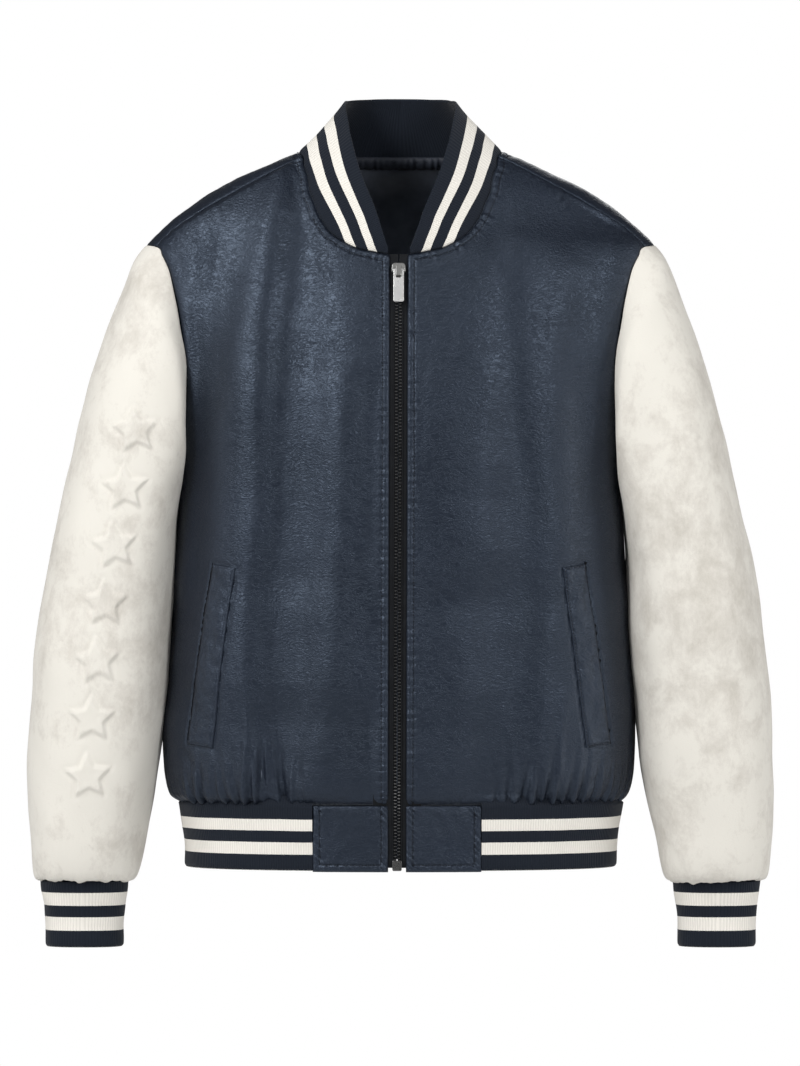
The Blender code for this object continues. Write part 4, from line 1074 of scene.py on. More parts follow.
def rib_look():
    """Rib knit whose stripes follow the map's v: pale from 1 to 2 and from 3 to 4, with painted
    shade in the grooves between its ribs.
    """
    made, add, join = shade("rib_knit_look", Roughness=0.9, Specular_IOR_Level=0.15,
                            Sheen_Weight=0.08)
    cut = add("SeparateXYZ", {0: add("UVMap", uv_map="Cut").outputs[0]})
    along, stripe = cut.outputs[0], cut.outputs[1]
    turn = maths(add, "MULTIPLY", along, 2 * math.pi / RIB_STEP)
    ridge = maths(add, "COSINE", turn)
    jag = maths(add, "MULTIPLY", maths(add, "COSINE", maths(add, "MULTIPLY", turn, 2.0)), 0.012)
    edge = maths(add, "ADD", stripe, jag)
    above, below = maths(add, "GREATER_THAN", edge, 0.0), maths(add, "LESS_THAN", edge, 5.0)
    pale = maths(add, "GREATER_THAN", maths(add, "FLOORED_MODULO", edge, 2.0), 1.0)
    pale = maths(add, "MULTIPLY", pale, maths(add, "MULTIPLY", above, below))
    fibre = noise_of(add, add("TexCoord").outputs["Object"], 700.0, 3.0)
    # random fibre tone, and painted shade that darkens the grooves between the ribs
    depth = ranged(add, maths(add, "MULTIPLY_ADD", fibre, 0.9, ridge), -0.7, 1.2, 0.86, 1.0)
    colour = mixed(add, pale, (*RIB_NAVY, 1), (*RIB_CREAM, 1))
    join("Base Color", mixed(add, 1.0, colour, depth, "MULTIPLY"))
    join("Normal", bump_of(add, maths(add, "MULTIPLY_ADD", fibre, 0.5, ridge), 0.4, 0.0004))
    return made


def plain_look(name, colour, roughness, scale, strength, metallic=0.0, gloss=0.5, squash=1):
    """A plain colour with a fine, slightly uneven surface."""
    made, add, join = shade(name, Metallic=metallic, Specular_IOR_Level=gloss)
    place = add("TexCoord").outputs["Object"]
    fine = noise_of(add, place, scale, 3.0, (1, 1, squash))
    tone = noise_of(add, place, scale / 14, 2.0)
    darker = tuple(channel * 0.72 for channel in colour)
    join("Base Color", ramp_of(add, tone, ((0.3, darker), (0.7, colour))))
    rough = ranged(add, fine, 0.3, 0.7, roughness * 0.85, min(roughness * 1.15, 1.0))
    join("Roughness", rough)
    join("Normal", bump_of(add, fine, strength, 0.0003))
    return made


# Pieces ---------------------------------------------------------------------------------

def seam_roll(distance, depth=0.0012, reach=0.0012):
    """Relief of an edge that rolls in towards its seam."""
    return -depth * np.exp(-distance / reach)


def hem_gathers(distance, place, spots, seed, calm=0.0):
    """Gathers that rise from the hem seam; calm is 1 where there are none."""
    swing = ripple(place, 0.014, seed) + 0.5 * ripple(place, 0.006, seed + 1)
    relief = 0.0015 * swing * np.exp(-distance / 0.015)
    for at, depth, width, length in spots:
        slant = at + 0.08 * distance * np.sign(math.sin(at * 900))
        fade = np.exp(-(distance / length) ** 1.5)
        relief = relief - depth * bell(place, slant, width) * fade
        relief = relief + 0.6 * depth * bell(place, slant + 2.1 * width, width) * fade
    return relief * (1 - calm)


def soft_relief(points):
    """Folds and slow waves of the body's front."""
    folds = fold_height(points, FOLDS) + ramp_height(points, RAMPS)
    return folds + 0.00018 * wobble(points, 0.045, 20) + 0.00004 * wobble(points, 0.016, 30)


def front_relief(side, u, points):
    """Relief of a front: its folds, and what the seams, stitches and gathers do at its edges."""
    bottom, top = points[0], points[-1]
    neck, shoulder = top[u <= NECK_U + ON_EDGE], top[u >= NECK_U - ON_EDGE]
    inner, outer = points[:, 0], points[:, -1]
    if side < 0:
        bottom, neck, shoulder = bottom[::-1], neck[::-1], shoulder[::-1]
        inner, outer = outer, inner
    hem_far, hem_place = near(points, bottom)
    zip_far, zip_place = near(points, inner)
    side_far = near(points, outer)[0]
    neck_far, neck_place = near(points, neck)
    shoulder_far, shoulder_place = near(points, shoulder)
    sewn_far = np.minimum(neck_far, zip_far)
    folds = soft_relief(points) * ease(side_far, 0.002, 0.016)
    folds *= ease(sewn_far, STITCH_IN * 0.6, 0.020) * ease(shoulder_far, 0.0, 0.008)
    folds *= 0.35 + 0.65 * ease(hem_far, 0.0, 0.012)
    calm = 1 - ease(np.abs(points[..., 0]), TAB_REACH + 0.001, TAB_REACH + 0.010)
    length = lengths(bottom)
    spots = [(np.interp(x, np.abs(bottom[:, 0]), length), depth, width, rise)
             for x, depth, width, rise in (GATHERS_LEFT if side > 0 else GATHERS_RIGHT)]
    relief = folds + hem_gathers(hem_far, hem_place, spots, 5 + side, calm)
    relief += seam_roll(hem_far, *HEM_ROLL) + seam_roll(side_far) + seam_roll(shoulder_far, 0.0010)
    relief += seam_roll(neck_far) + seam_roll(zip_far, 0.0010, 0.0008)
    relief += topstitched(sewn_far, np.where(neck_far < zip_far, neck_place, zip_place), 40 + side)
    pleat = 0.0005 * ripple(shoulder_place, 0.013, 60 + side) * np.exp(-shoulder_far / 0.012)
    return relief + pleat * ease(shoulder_place, 0.0, 0.02)


def welt_distance(points):
    """Distance in the plane of the front to the nearest side of a pocket welt, 0 inside it."""
    x, z = np.abs(points[..., 0]), points[..., 2]
    inside = np.ones_like(x, dtype=bool)
    least = np.full_like(x, np.inf)
    for a, b in zip(WELT, WELT[1:] + WELT[:1]):
        inside &= (x - a.x) * (b.z - a.z) - (z - a.z) * (b.x - a.x) > 0
        least = np.minimum(least, segment_distance(x, z, a, b))
    return np.where(inside, 0.0, least)


def thinned(count):
    return np.unique(np.append(np.arange(0, count, LINING_SKIP), count - 1))


def add_lining(name, shaped, normals, depth, look, closed=False):
    """A coarser surface inside a piece, facing the hollow."""
    rows, columns = thinned(shaped.shape[0]), thinned(shaped.shape[1])
    if closed:
        columns = np.arange(0, shaped.shape[1], LINING_SKIP)
    inner = (shaped - normals * depth)[rows][:, columns]
    add_piece(grid_mesh(name, inner[::-1], closed=closed), look, None)


def build_fronts(looks):
    """Both fronts; returns the surface tree and the plain grid of each."""
    made = {}
    half, up = (graded(*grid) for grid in FRONT_GRID)
    for name, side in SIDES:
        u = half if side > 0 else half[::-1]
        grid_u, grid_v = np.meshgrid(u, up)
        points = smoothed(front_surface(side, grid_u, grid_v), SMOOTH_ROUNDS)
        normals = direction(smoothed(body_normal(points), SMOOTH_ROUNDS))
        relief = front_relief(side, u, points)
        far = welt_distance(points)
        relief -= WELT_SINK[0] * bell(far, WELT_SINK[1] / 2, WELT_SINK[1]) * (far > 0)
        shaped = raised(points, normals, relief)
        mesh = grid_mesh("leather_front_" + name, rimmed(shaped, normals, LEATHER))
        add_piece(mesh, looks["leather"], "front_" + name)
        made[name] = (tree_of(mesh), points)
        add_lining("lining_front_" + name, shaped, normals, LEATHER + FRONT_LINING_GAP,
                   looks["satin"])
    return made


def build_back(looks):
    """The back; returns its surface tree, shaped grid, normals, plain grid and neck seam."""
    half, up = (graded(*grid) for grid in BACK_GRID)
    across = np.concatenate([-half[:0:-1], half])
    u, v = np.meshgrid(across, up)
    points = smoothed(back_surface(-u, v), SMOOTH_ROUNDS)
    normals = direction(smoothed(body_normal(points), SMOOTH_ROUNDS))
    neck = points[-1][np.abs(across) <= BACK_NECK_U + ON_EDGE]
    hem_far, hem_place = near(points, points[0])
    side_far = np.minimum(near(points, points[:, 0])[0], near(points, points[:, -1])[0])
    neck_far, neck_place = near(points, neck)
    top_far = near(points, points[-1])[0]
    edge_far = np.minimum(side_far, top_far)
    relief = hem_gathers(hem_far, hem_place, (), 7)
    relief += fold_height(points, BACK_FOLDS) * ease(edge_far, 0.002, 0.02)
    relief += 0.0010 * wobble(points, 0.11, 21) * ease(edge_far, 0.002, 0.04)
    relief += 0.0004 * wobble(points, 0.045, 22) + 0.00016 * wobble(points, 0.016, 23)
    relief += seam_roll(hem_far, *HEM_ROLL) + seam_roll(side_far) + seam_roll(top_far, 0.0010)
    relief += topstitched(neck_far, neck_place, 42)
    shaped = raised(points, normals, relief)
    mesh = grid_mesh("leather_back", rimmed(shaped, normals, LEATHER))
    add_piece(mesh, looks["leather"], "back")
    return tree_of(mesh), shaped, normals, points, neck


def star_relief(x, z):
    """Relief of a column of plain raised five-point stars down the front of a sleeve."""
    relief = np.zeros_like(x)
    half_point = np.pi / 5
    for star in STARS:
        dx, dz = x - star.x, z - star.z
        angle, radius = np.arctan2(dx, dz) + star.turn, np.hypot(dx, dz)
        wedge = np.abs(np.mod(angle + half_point, 2 * half_point) - half_point)
        px, py = radius * np.cos(wedge), radius * np.sin(wedge)
        tip, deep = (star.size, 0.0), star.size * STAR_NOTCH
        notch = (deep * math.cos(half_point), deep * math.sin(half_point))
        gap = segment_distance(px, py, tip, notch)
        inside = (px - tip[0]) * (notch[1] - tip[1]) - (py - tip[1]) * (notch[0] - tip[0]) < 0
        signed = np.where(inside, -gap, gap)
        relief += EMBOSS * (1 - ease(signed, -0.0022, 0.0002))           # its flank
        relief -= EMBOSS * 0.25 * bell(signed, 0.0018, 0.0016)           # pulled in round it
        relief -= EMBOSS * 0.20 * (1 - ease(signed, -0.0075, -0.0035))   # lower in its middle
    return relief


def build_sleeves(looks):
    for name, side in SIDES:
        starred = side < 0              # that sleeve has a finer mesh
        front = np.arange(-15.0, 195.0, 1.0 if starred else 1.7)
        around = np.concatenate([front, np.arange(195.0, 345.0, 3.0)])
        around = np.sort(np.where(around > 180, around - 360, around))
        along = graded(*(STARRED_GRID if starred else SLEEVE_GRID))
        u, v = np.meshgrid((around * side)[::side], along)

        def surface(u, v):
            return sleeve_surface(side, u * side, v)

        points, normals = surface(u, v), outward(surface, u, v, True)
        arm_far = near(points, np.concatenate([points[0], points[0][:1]]))[0]
        cuff_far, cuff_place = near(points, np.concatenate([points[-1], points[-1][:1]]))
        relief = 0.0010 * wobble(points, 0.13, 70 + side) * ease(arm_far, 0.0, 0.05)
        relief += 0.0003 * wobble(points, 0.050, 72 + side)
        swing = ripple(cuff_place, 0.016, 74 + side) + 0.6 * ripple(cuff_place, 0.008, 76)
        relief += 0.0009 * swing * np.exp(-cuff_far / 0.012)
        relief += seam_roll(arm_far, 0.0011, 0.0016) + seam_roll(cuff_far, 0.0012, 0.0020)
        facing_body = np.clip(-side * normals[..., 0], 0, 1) ** 2
        for level, (bulged, reach) in ((UNDERARM_Z, UNDERARM_BULGE), (ELBOW_Z, ELBOW_BULGE)):
            relief += bulged * facing_body * bell(points[..., 2], level, reach)
        if starred:
            relief += star_relief(points[..., 0], points[..., 2]) * (points[..., 1] < -0.01)
        shaped = raised(points, normals, relief)
        rows = rimmed(shaped, normals, SUEDE, True)
        mesh = grid_mesh("suede_sleeve_" + name, rows, closed=True)
        add_piece(mesh, looks["suede"], "sleeve_" + name)
        add_lining("lining_sleeve_" + name, shaped, normals, SUEDE + SLEEVE_LINING_GAP,
                   looks["satin"], True)


def doubled(points, normals, shaped, drop):
    """Rows of a knit folded double: down its inner face, round the fold and up its outer face."""
    lip = points[0] - normals[0] * RIB / 2 - np.array([0, 0, drop])
    return np.concatenate([(points - normals * RIB)[::-1], lip[None], shaped])


def stripe_map(distance, stops):
    """Distances from an edge in stripe units; stops are where units 1, 2, 3 and 4 begin."""
    return np.interp(distance, [0, *stops, 2 * stops[-1] - stops[-2]], range(6))


def stripe_rows(heights, stops):
    """Stripe units of the rows of a doubled knit: none up to the fold, then down from the seam."""
    plain = np.full(len(heights) + 1, NO_STRIPE)
    return np.concatenate([plain, stripe_map(heights[-1] - heights, stops)])


def build_cuffs(looks):
    low_z, high_z = CUFF[0].z, CUFF[-1].z
    turns = np.linspace(0, 360, 201)[:-1]
    heights = np.concatenate([np.linspace(low_z, low_z + 0.004, 6)[:-1],
                              np.linspace(low_z + 0.004, high_z, 30)])
    u, v = np.meshgrid(turns, heights)
    for name, side in SIDES:
        points = ring_point(CUFF, u, v) + np.array([CUFF_X * side, 0, 0])
        from_x, from_y = points[..., 0] - CUFF_X * side, points[..., 1] - CUFF[0].middle
        normals = direction(np.stack([from_x, from_y, 0 * u], -1))
        relief = -0.0012 * np.exp(-(v - low_z) / 0.0010) + 0.0004 * wobble(points, 0.03, 80 + side)
        shaped = raised(points, normals, relief)
        around = np.linspace(0, lengths(shaped[0])[-1], len(turns) + 1)
        uv = np.stack(np.meshgrid(around, stripe_rows(heights, CUFF_STRIPES)), -1)
        rows = doubled(points, normals, shaped, 0.0004)
        mesh = grid_mesh("rib_cuff_" + name, rows, uv, closed=True)
        add_piece(mesh, looks["rib"], "cuff_" + name)


def build_hem_rib(looks):
    def rib(round_share, z):
        start, end = (turn_at(HEM, TAB_REACH + side * zip_middle(z), z) for _, side in SIDES)
        return ring_point(HEM, start + (360 - end - start) * round_share, z)

    heights = np.linspace(HEM_END_Z, HEM_SEAM_Z, 34)
    u, v = np.meshgrid(np.linspace(0, 1, 600), heights)
    points = rib(u, v)
    normals = body_normal(points)
    relief = 0.0006 * wobble(points, 0.05, 90) - 0.0012 * np.exp(-(v - HEM_END_Z) / 0.0010)
    shaped = raised(points, normals, relief)
    tucked = [points[-1] - normals[-1] * back + np.array([0, 0, rise]) for back, rise in TUCK]
    rows = np.concatenate([doubled(points, normals, shaped, 0.0005), tucked])
    around = lengths(shaped[len(heights) // 2])
    stripe = np.concatenate([stripe_rows(heights, HEM_STRIPES), [NO_STRIPE] * len(TUCK)])
    mesh = grid_mesh("rib_hem", rows, np.stack(np.meshgrid(around, stripe), -1))
    add_piece(mesh, looks["rib"], "hem_rib")


def build_hem_tabs(looks):
    """The hem's end panels; returns each one's lines of stitches."""
    made = {}
    low_z, high_z = TAB_END_Z + STITCH_IN, HEM_SEAM_Z - 0.001
    near_x, far_x = OPENING + STITCH_IN, TAB_REACH - STITCH_IN
    for name, side in SIDES:
        reach = np.sort(stations(OPENING, TAB_REACH, *TAB_GRID) * side)
        u, v = np.meshgrid(reach, stations(TAB_END_Z, HEM_SEAM_Z, *TAB_GRID))
        points = front_point(u + zip_middle(v), v)
        normals = body_normal(points)
        low, top = v - TAB_END_Z, HEM_SEAM_Z - v
        inner, outer = np.abs(u) - OPENING, TAB_REACH - np.abs(u)
        relief = 0.00035 * wobble(points, 0.020, 95 + side) + 0.0001 * wobble(points, 0.007, 97)
        relief += seam_roll(low, 0.0012, 0.0008) + seam_roll(top, 0.0014, 0.0014)
        relief += seam_roll(inner, 0.0010, 0.0008) + seam_roll(outer, 0.0009, 0.0008)
        relief += topstitched(np.minimum(np.minimum(low, inner), outer), u + v, 61 + side)
        rows = rimmed(raised(points, normals, relief), normals, RIB)
        mesh = grid_mesh("leather_hem_" + name, rows)
        add_piece(mesh, looks["leather"], "hem_tab_" + name)
        tree = tree_of(mesh)
        made[name] = []
        for x_from, x_to, z_to in ((near_x, far_x, low_z), (far_x, far_x, high_z),
                                   (near_x, near_x, high_z)):
            z = np.linspace(low_z, z_to, 80)
            x = np.linspace(x_from, x_to, 80) * side + zip_middle(z)
            made[name].append(laid_on(tree, front_point(x, z)))
    return made


def build_collar(looks):
    half, up = (graded(*grid) for grid in COLLAR_GRID)
    along = np.concatenate([-half[::-1], half[1:]])
    u, v = np.meshgrid(along, up)

    def surface(u, v):
        return collar_surface(-u, v)

    points, normals = surface(u, v), outward(surface, u, v, False)
    width = np.linalg.norm(points[-1] - points[0], axis=-1)
    free, seam = (1 - v) * width, v * width
    turned = RIB / 2 * (1 - np.sqrt(1 - np.clip(1 - free / (RIB / 2), 0, 1) ** 2))
    relief = 0.0005 * wobble(points, 0.05, 100) - 0.0012 * np.exp(-seam / 0.0012) - turned
    shaped = raised(points, normals, relief)
    inside = raised(points, normals, -RIB + turned + 0.0004 * wobble(points, 0.05, 101))
    stops = np.stack([smooth(COLLAR_STRIPES, name, 1 - np.abs(along), "share")
                      for name in Stops._fields[1:]], -1)
    stripe = np.stack([stripe_map(free[:, k], stops[k]) for k in range(len(along))], axis=1)
    stripe = np.concatenate([stripe, np.full_like(u, NO_STRIPE)])
    around = np.broadcast_to(along * COLLAR_HALF, stripe.shape)
    rows = np.concatenate([shaped, inside[::-1]])
    mesh = grid_mesh("rib_collar", rows, np.stack([around, stripe], -1))
    add_piece(mesh, looks["rib"], "collar")


def build_back_lining(looks, back):
    """The lining of the back, which shows through the neck."""
    _, shaped, normals, points, _ = back
    rows, columns = thinned(points.shape[0]), thinned(points.shape[1])
    outer, out, flat = (grid[rows][:, columns] for grid in (shaped, normals, points))
    soft = 0.0008 * wobble(flat, 0.06, 110) + 0.0005 * wobble(flat, 0.022, 111)
    soft = np.clip(soft + fold_height(flat, LINING_FOLDS), -LINING_SLACK, LINING_SLACK)
    soft = soft * ease(near(flat, points[-1])[0], 0.004, 0.02)
    inner = outer - out * (LEATHER + LAYER_GAP + SATIN + BACK_LINING_GAP + soft)[..., None]
    add_piece(grid_mesh("lining_back", inner[::-1]), looks["satin"], "back_lining")


def build_neck_roll(looks):
    """The satin roll over the back neck seam, under the collar, with its small ruffles."""
    along = np.linspace(ROLL_REACH, -ROLL_REACH, 320)
    centre = neck_point(along)
    normals = body_normal(centre)
    down = direction(np.cross(direction(np.gradient(centre, axis=0)), normals))
    down = down * np.sign(-down[:, 2:3])
    top = centre - normals * (LEATHER + 0.0006) - 0.0022 * down
    ruffle = 0.0004 * wobble(centre, 0.012, 113) + 0.0010 * ripple(along * COLLAR_HALF, 0.0045, 114)
    proud = (ROLL_PROUD + ruffle)[:, None]
    rows = np.array([top - normals * (math.sin(angle) * proud)
                     + down * (1 - math.cos(angle)) / 2 * ROLL_TALL
                     for angle in np.radians(np.linspace(0, 180, 15))])
    add_piece(grid_mesh("neck_roll", rows), looks["roll"], "neck_tape")


def build_welts(looks, fronts):
    """The pocket welts, and a dark strip of painted shade for each slit; returns each welt's lines
    of stitches.
    """
    top_inner, top_outer, low_outer, low_inner = (np.array(corner) for corner in WELT)
    made = {}
    for name, side in SIDES:
        wide, tall = (graded(*grid) for grid in WELT_GRID)
        u, v = np.meshgrid(wide if side > 0 else wide[::-1], tall)

        def plane(u, v):
            low = low_inner * (1 - u[..., None]) + low_outer * u[..., None]
            top = top_inner * (1 - u[..., None]) + top_outer * u[..., None]
            flat = low + (top - low) * v[..., None]
            return front_point(flat[..., 0] * side, flat[..., 1])

        points = plane(u, v)
        normals = body_normal(points)
        full_width, full_height = WELT_GRID[0].length, WELT_GRID[1].length
        across, rise = u * full_width, v * full_height
        edges = np.minimum(np.minimum(across, full_width - across),
                           np.minimum(rise, full_height - rise))
        relief = soft_relief(points) + WELT_LIFT
        relief += seam_roll(edges, 0.0014, 0.0008)
        uneven = 0.00035 * wobble(points, 0.016, 120 + side) + 0.00015 * wobble(points, 0.006, 122)
        relief += uneven * ease(edges, 0, 0.003)
        relief -= 0.0005 * bell(edges, 0.0018, 0.0006) * (across < 0.020)
        rows = rimmed(raised(points, normals, relief), normals, WELT_LIFT + 0.0003)
        mesh = grid_mesh("leather_welt_" + name, rows)
        add_piece(mesh, looks["leather"], "pocket_welt_" + name)
        tree = tree_of(mesh)
        made[name] = [laid_on(tree, plane(np.linspace(u0, u1, 120), np.linspace(v0, v1, 120)))
                      for u0, v0, u1, v1 in WELT_STITCHES]
        # the slit is no opening: a dark strip of painted shade laid just over the front
        slit = plane(np.full(120, SLIT_U), np.linspace(-0.004, 1.004, 120))
        line, out = laid_on(fronts[name][0], slit)
        right = direction(np.cross(direction(np.gradient(line, axis=0)), out))
        strip = [line + right * shift + out * 0.0003 for shift in (-SLIT_HALF, 0.0, SLIT_HALF)]
        mesh = grid_mesh("pocket_slit_painted_shade_" + name, np.stack(strip, axis=1))
        add_piece(mesh, looks["dark"], None)
    return made


def inside_seam(seam, inner_point, index):
    """A seam moved in from the edge by the stitches' distance, towards a point of its panel."""
    along = direction(np.gradient(seam, axis=0))
    inward = direction(np.cross(body_normal(seam), along)) * STITCH_IN
    return seam + inward * (1 if inward[index] @ (inner_point - seam[index]) > 0 else -1)


def build_stitches(looks, fronts, tabs, welts, back):
    def sew(name, rows):
        add_piece(stitch_mesh("stitches_" + name, rows), looks["thread"], None)

    for name, side in SIDES:
        tree, points = fronts[name]
        u = np.linspace(0.0, NECK_U, 160)
        seam = front_surface(side, u, np.ones_like(u))
        line = inside_seam(seam, points[len(points) // 2, 40], 80)
        line = line[np.abs(line[:, 0] - zip_middle(line[:, 2])) > OPENING + STITCH_IN]
        z = np.linspace(HEM_SEAM_Z + 0.002, line[0][2], 400)
        edge = front_point(side * (OPENING + STITCH_IN) + zip_middle(z), z)
        sew("front_" + name, [laid_on(tree, line), laid_on(tree, edge)])
        sew("hem_" + name, tabs[name])
        sew("welt_" + name, welts[name])
    tree, _, _, _, neck = back
    middle = len(neck) // 2
    sew("back", [laid_on(tree, inside_seam(neck, neck[middle] + BEHIND, middle))])


def boxes_mesh(name, boxes):
    """One mesh of chamfered blocks; each is a centre, three axes and three half sizes."""
    points, faces = [], []
    for centre, axes, half in boxes:
        work = bmesh.new()
        bmesh.ops.create_cube(work, size=2.0)
        bmesh.ops.scale(work, vec=half, verts=work.verts)
        chamfer = min(TOOTH_CHAMFER, min(half) * 0.5)
        bmesh.ops.bevel(work, geom=list(work.edges), offset=chamfer, segments=1, affect="EDGES")
        start = len(points)
        for vert in work.verts:
            x, y, z = vert.co
            points.append(centre + axes[0] * x + axes[1] * y + axes[2] * z)
        work.verts.index_update()
        for face in work.faces:
            faces.append(tuple(start + vert.index for vert in face.verts))
        work.free()
    return faced(name, points, faces)


def zip_axes(z):
    """Place on the zip's middle at a height, and its side, inward and up axes."""
    above, below = (front_point(zip_middle(z + step), z + step) for step in (0.004, -0.004))
    up = direction(above - below)
    inward = direction(np.cross(up, np.array([1.0, 0, 0])))
    return front_point(zip_middle(z), z), (np.cross(inward, up), inward, up)


def build_zip(looks):
    """The zip's tapes, their cords and the teeth."""
    heights = np.linspace(TAPE_END_Z, EDGE_TOP_Z + 0.001, 420)
    for name, side in SIDES:
        reach = np.sort(np.linspace(0.0006, TAPE_REACH, 16) * side)
        u, v = np.meshgrid(reach, heights)
        points = front_point(u + zip_middle(v), v)
        depth = TAPE_DEPTH + TAPE_DIP * ease(np.abs(u), OPENING, OPENING + 0.004)
        depth = depth + TAPE_WEAVE[0] * np.sin(v * 2 * np.pi / TAPE_WEAVE[1])
        mesh = grid_mesh("tape_" + name, points - body_normal(points) * depth[..., None])
        add_piece(mesh, looks["tape"], "zip_tape_" + name)
    teeth = []
    z = BOX_TOP_Z + 0.001
    while z < CHAIN_TOP_Z:
        side = 1 if len(teeth) % 2 else -1
        centre, axes = zip_axes(z)
        middle = centre + axes[0] * side * TOOTH_PLACE[0] + axes[1] * TOOTH_PLACE[1]
        teeth.append((middle, axes, TOOTH_HALF))
        z += TOOTH_STEP / 2
    add_piece(boxes_mesh("zip_teeth", teeth), looks["gunmetal"], "zip_chain")
    ring = np.radians(np.arange(0, 360, 45))
    _, (across, inward, _) = zip_axes(-0.4)
    for name, side in reversed(SIDES):
        line = []
        for z in np.linspace(BOX_TOP_Z, CHAIN_TOP_Z, 260):
            centre, axes = zip_axes(z)
            line.append(centre + axes[0] * side * CHAIN_HALF + axes[1] * CORD_IN)
        spokes = np.cos(ring)[None, :, None] * across + np.sin(ring)[None, :, None] * inward
        tube = np.array(line)[:, None] + spokes * CORD_RADIUS
        mesh = grid_mesh("tape_cord_" + name, tube, closed=True)
        add_piece(mesh, looks["tape"], None)


def flat_shape(outline, thick, bevel, hole=()):
    """A plate with rounded edges, and a hole in it, drawn in x and z; y is its depth."""
    curve = bpy.data.curves.new("plate", "CURVE")
    curve.dimensions = "2D"
    curve.fill_mode = "BOTH"
    curve.extrude = thick / 2 - bevel
    curve.bevel_depth = bevel
    curve.bevel_resolution = 2
    for path in filter(len, (outline, hole)):
        spline = curve.splines.new("POLY")
        spline.points.add(len(path) - 1)
        for point, (x, z) in zip(spline.points, path):
            point.co = (x, z, 0.0, 1.0)
        spline.use_cyclic_u = True
    holder = bpy.data.objects.new("plate", curve)
    mesh = bpy.data.meshes.new_from_object(holder)
    bpy.data.objects.remove(holder)
    bpy.data.curves.remove(curve)
    mesh.transform(Matrix(((1, 0, 0, 0), (0, 0, -1, 0), (0, 1, 0, 0), (0, 0, 0, 1))))
    return mesh


def rounded(left, right, low, high, radius, steps=5):
    """Corners of a rectangle in x and z, rounded."""
    path = []
    for x, z, start in ((right - radius, high - radius, 0), (left + radius, high - radius, 90),
                        (left + radius, low + radius, 180), (right - radius, low + radius, 270)):
        for angle in np.radians(start + np.linspace(0, 90, steps)):
            path.append((x + radius * math.cos(angle), z + radius * math.sin(angle)))
    return path


def joined(name, shapes, z):
    """Meshes, each moved in y, joined and put on the zip's middle at a height."""
    work = bmesh.new()
    for mesh, y in shapes:
        mesh.transform(Matrix.Translation((0.0, y, 0.0)))
        work.from_mesh(mesh)
        bpy.data.meshes.remove(mesh)
    centre, (side, inward, up) = zip_axes(z)
    place = np.eye(4)
    place[:3, :3] = np.stack([side, inward, up], axis=1)
    place[:3, 3] = centre
    work.transform(Matrix(place.tolist()))
    bmesh.ops.recalc_face_normals(work, faces=work.faces)
    made = bpy.data.meshes.new(name)
    work.to_mesh(made)
    work.free()
    made.shade_smooth()
    made.set_sharp_from_angle(angle=math.radians(35))
    return made


def build_metal(looks):
    """The slider, its tab and the box at the foot of the zip, with rounded edges."""
    shoulder = SLIDER_WAIST[0]
    top = rounded(-shoulder[0], shoulder[0], -SLIDER_LONG, 0, 0.0024)[:10]
    plate = top + [(-x, z) for x, z in SLIDER_WAIST] + [(x, z) for x, z in SLIDER_WAIST[::-1]]
    front = PLATE[0] - BRIDGE_RISE
    hole = TAB_BAR / 2 + TAB_CLEAR
    half = hole + BRIDGE_BAR + BRIDGE_FOOT
    parts = [(flat_shape(plate, PLATE[1] - PLATE[0], 0.0006), sum(PLATE) / 2)]
    for side in (-1, 1):
        left, right = sorted((side * FLANGE[0], side * SLIDER_HALF))
        flange = rounded(left, right, shoulder[1] - 0.001, FLANGE_TOP - 0.001, 0.0006, 3)
        flange = flat_shape(flange, FLANGE[1] - PLATE[1] + 0.0006, 0.0003)
        parts.append((flange, (PLATE[1] + FLANGE[1]) / 2))
    low, high = BRIDGE_Z - half, BRIDGE_Z + half
    bar = rounded(-BRIDGE_HALF, BRIDGE_HALF, low - BAR_TONGUE, high, 0.0008, 4)
    parts.append((flat_shape(bar, BRIDGE_BAR, 0.0004), front + BRIDGE_BAR / 2))
    for foot_low, foot_high in ((low, BRIDGE_Z - hole), (BRIDGE_Z + hole, high)):
        foot = rounded(-BRIDGE_HALF, BRIDGE_HALF, foot_low, foot_high, 0.0006, 3)
        parts.append((flat_shape(foot, BRIDGE_RISE, 0.0002), front + BRIDGE_RISE / 2 + 0.0003))
    mesh = joined("bright_slider", parts, SLIDER_Z)
    add_piece(mesh, looks["dull"], "zip_slider")
    pin = (front + BRIDGE_BAR + PLATE[0]) / 2
    bar_low, bar_high = BRIDGE_Z - TAB_BAR / 2, BRIDGE_Z + TAB_BAR / 2
    tab = rounded(-TAB_SEEN_HALF, TAB_SEEN_HALF, bar_high - TAB_LONG, bar_high, 0.0014)
    slot = rounded(-TAB_SLOT[0], TAB_SLOT[0], bar_low - TAB_SLOT[1], bar_low, 0.0005, 3)
    mesh = joined("bright_tab", [(flat_shape(tab, TAB_THICK, 0.00045, slot), pin)], SLIDER_Z)
    add_piece(mesh, looks["bright"], "zip_pull_tab", "pull_tab")
    box = rounded(-CHAIN_HALF, CHAIN_HALF, BOX_END_Z - BOX_TOP_Z, 0, 0.0010, 4)
    mesh = joined("stop_box", [(flat_shape(box, BOX_THICK, 0.0004), 0.0)], BOX_TOP_Z)
    add_piece(mesh, looks["gunmetal"], "zip_box")


# Picture --------------------------------------------------------------------------------

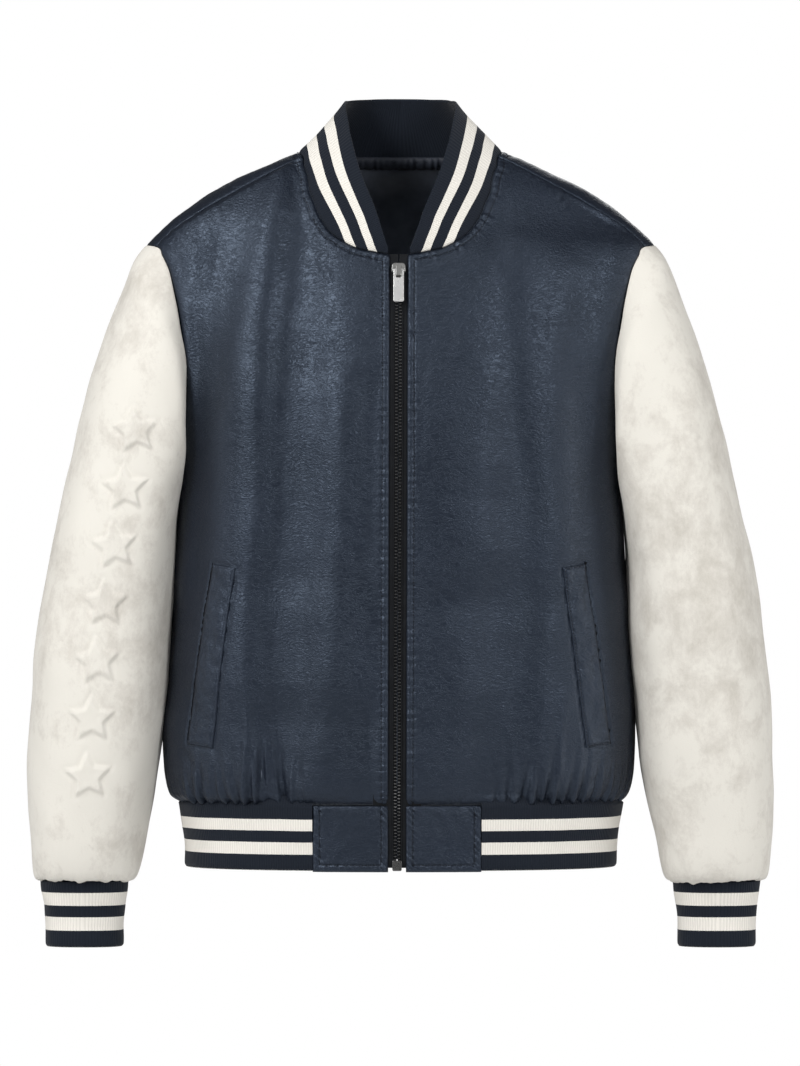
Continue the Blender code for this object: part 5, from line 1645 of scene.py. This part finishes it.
def add_lamp(row):
    data = bpy.data.lights.new(row.name, "AREA")
    data.shape = "RECTANGLE"
    data.size, data.size_y = row.size
    data.energy = row.power
    made = linked(row.name, data)
    made.location = row.place
    aim = Vector(LAMP_AIM) - Vector(row.place)
    made.rotation_euler = aim.to_track_quat("-Z", "Y").to_euler()


def build_studio():
    """A white background that lights the jacket only faintly, the lamps, a floor and the camera."""
    scene = bpy.context.scene
    scene.view_settings.view_transform = "Standard"
    world = bpy.data.worlds.new("studio")
    world.use_nodes = True
    tree = world.node_tree
    back = tree.nodes["Background"]
    back.inputs["Color"].default_value = (1, 1, 1, 1)
    path = tree.nodes.new("ShaderNodeLightPath")
    level = tree.nodes.new("ShaderNodeMapRange")
    level.inputs["To Min"].default_value = AMBIENT
    level.inputs["To Max"].default_value = 1.0
    tree.links.new(path.outputs["Is Camera Ray"], level.inputs["Value"])
    tree.links.new(level.outputs[0], back.inputs["Strength"])
    scene.world = world
    for row in LAMPS:
        add_lamp(row)
    ring = np.radians(np.arange(0, 360, 6))
    corners = [(FLOOR_RADIUS * math.cos(a), FLOOR_RADIUS * math.sin(a), FLOOR_Z) for a in ring]
    mesh = faced("floor", corners, [tuple(range(len(ring)))])
    look = bpy.data.materials.new("floor_look")
    look.use_nodes = True
    shader = look.node_tree.nodes["Principled BSDF"]
    shader.inputs["Base Color"].default_value = (0.82, 0.82, 0.82, 1)
    shader.inputs["Roughness"].default_value = 0.9
    mesh.materials.append(look)
    linked("floor", mesh)
    data = bpy.data.cameras.new("camera")
    data.lens = CAMERA_LENS
    data.sensor_width = 36.0
    camera = linked("camera", data)
    camera.location = CAMERA_PLACE
    camera.rotation_euler = (math.radians(90), 0, 0)
    scene.camera = camera


def main():
    looks = {"leather": leather_look(), "suede": suede_look(), "rib": rib_look()}
    for row in PLAIN_LOOKS:
        looks[row.key] = plain_look(*row[1:])
    fronts = build_fronts(looks)
    back = build_back(looks)
    build_sleeves(looks)
    build_cuffs(looks)
    build_hem_rib(looks)
    tabs = build_hem_tabs(looks)
    build_collar(looks)
    build_back_lining(looks, back)
    build_neck_roll(looks)
    welts = build_welts(looks, fronts)
    build_stitches(looks, fronts, tabs, welts, back)
    build_zip(looks)
    build_metal(looks)
    build_studio()


main()
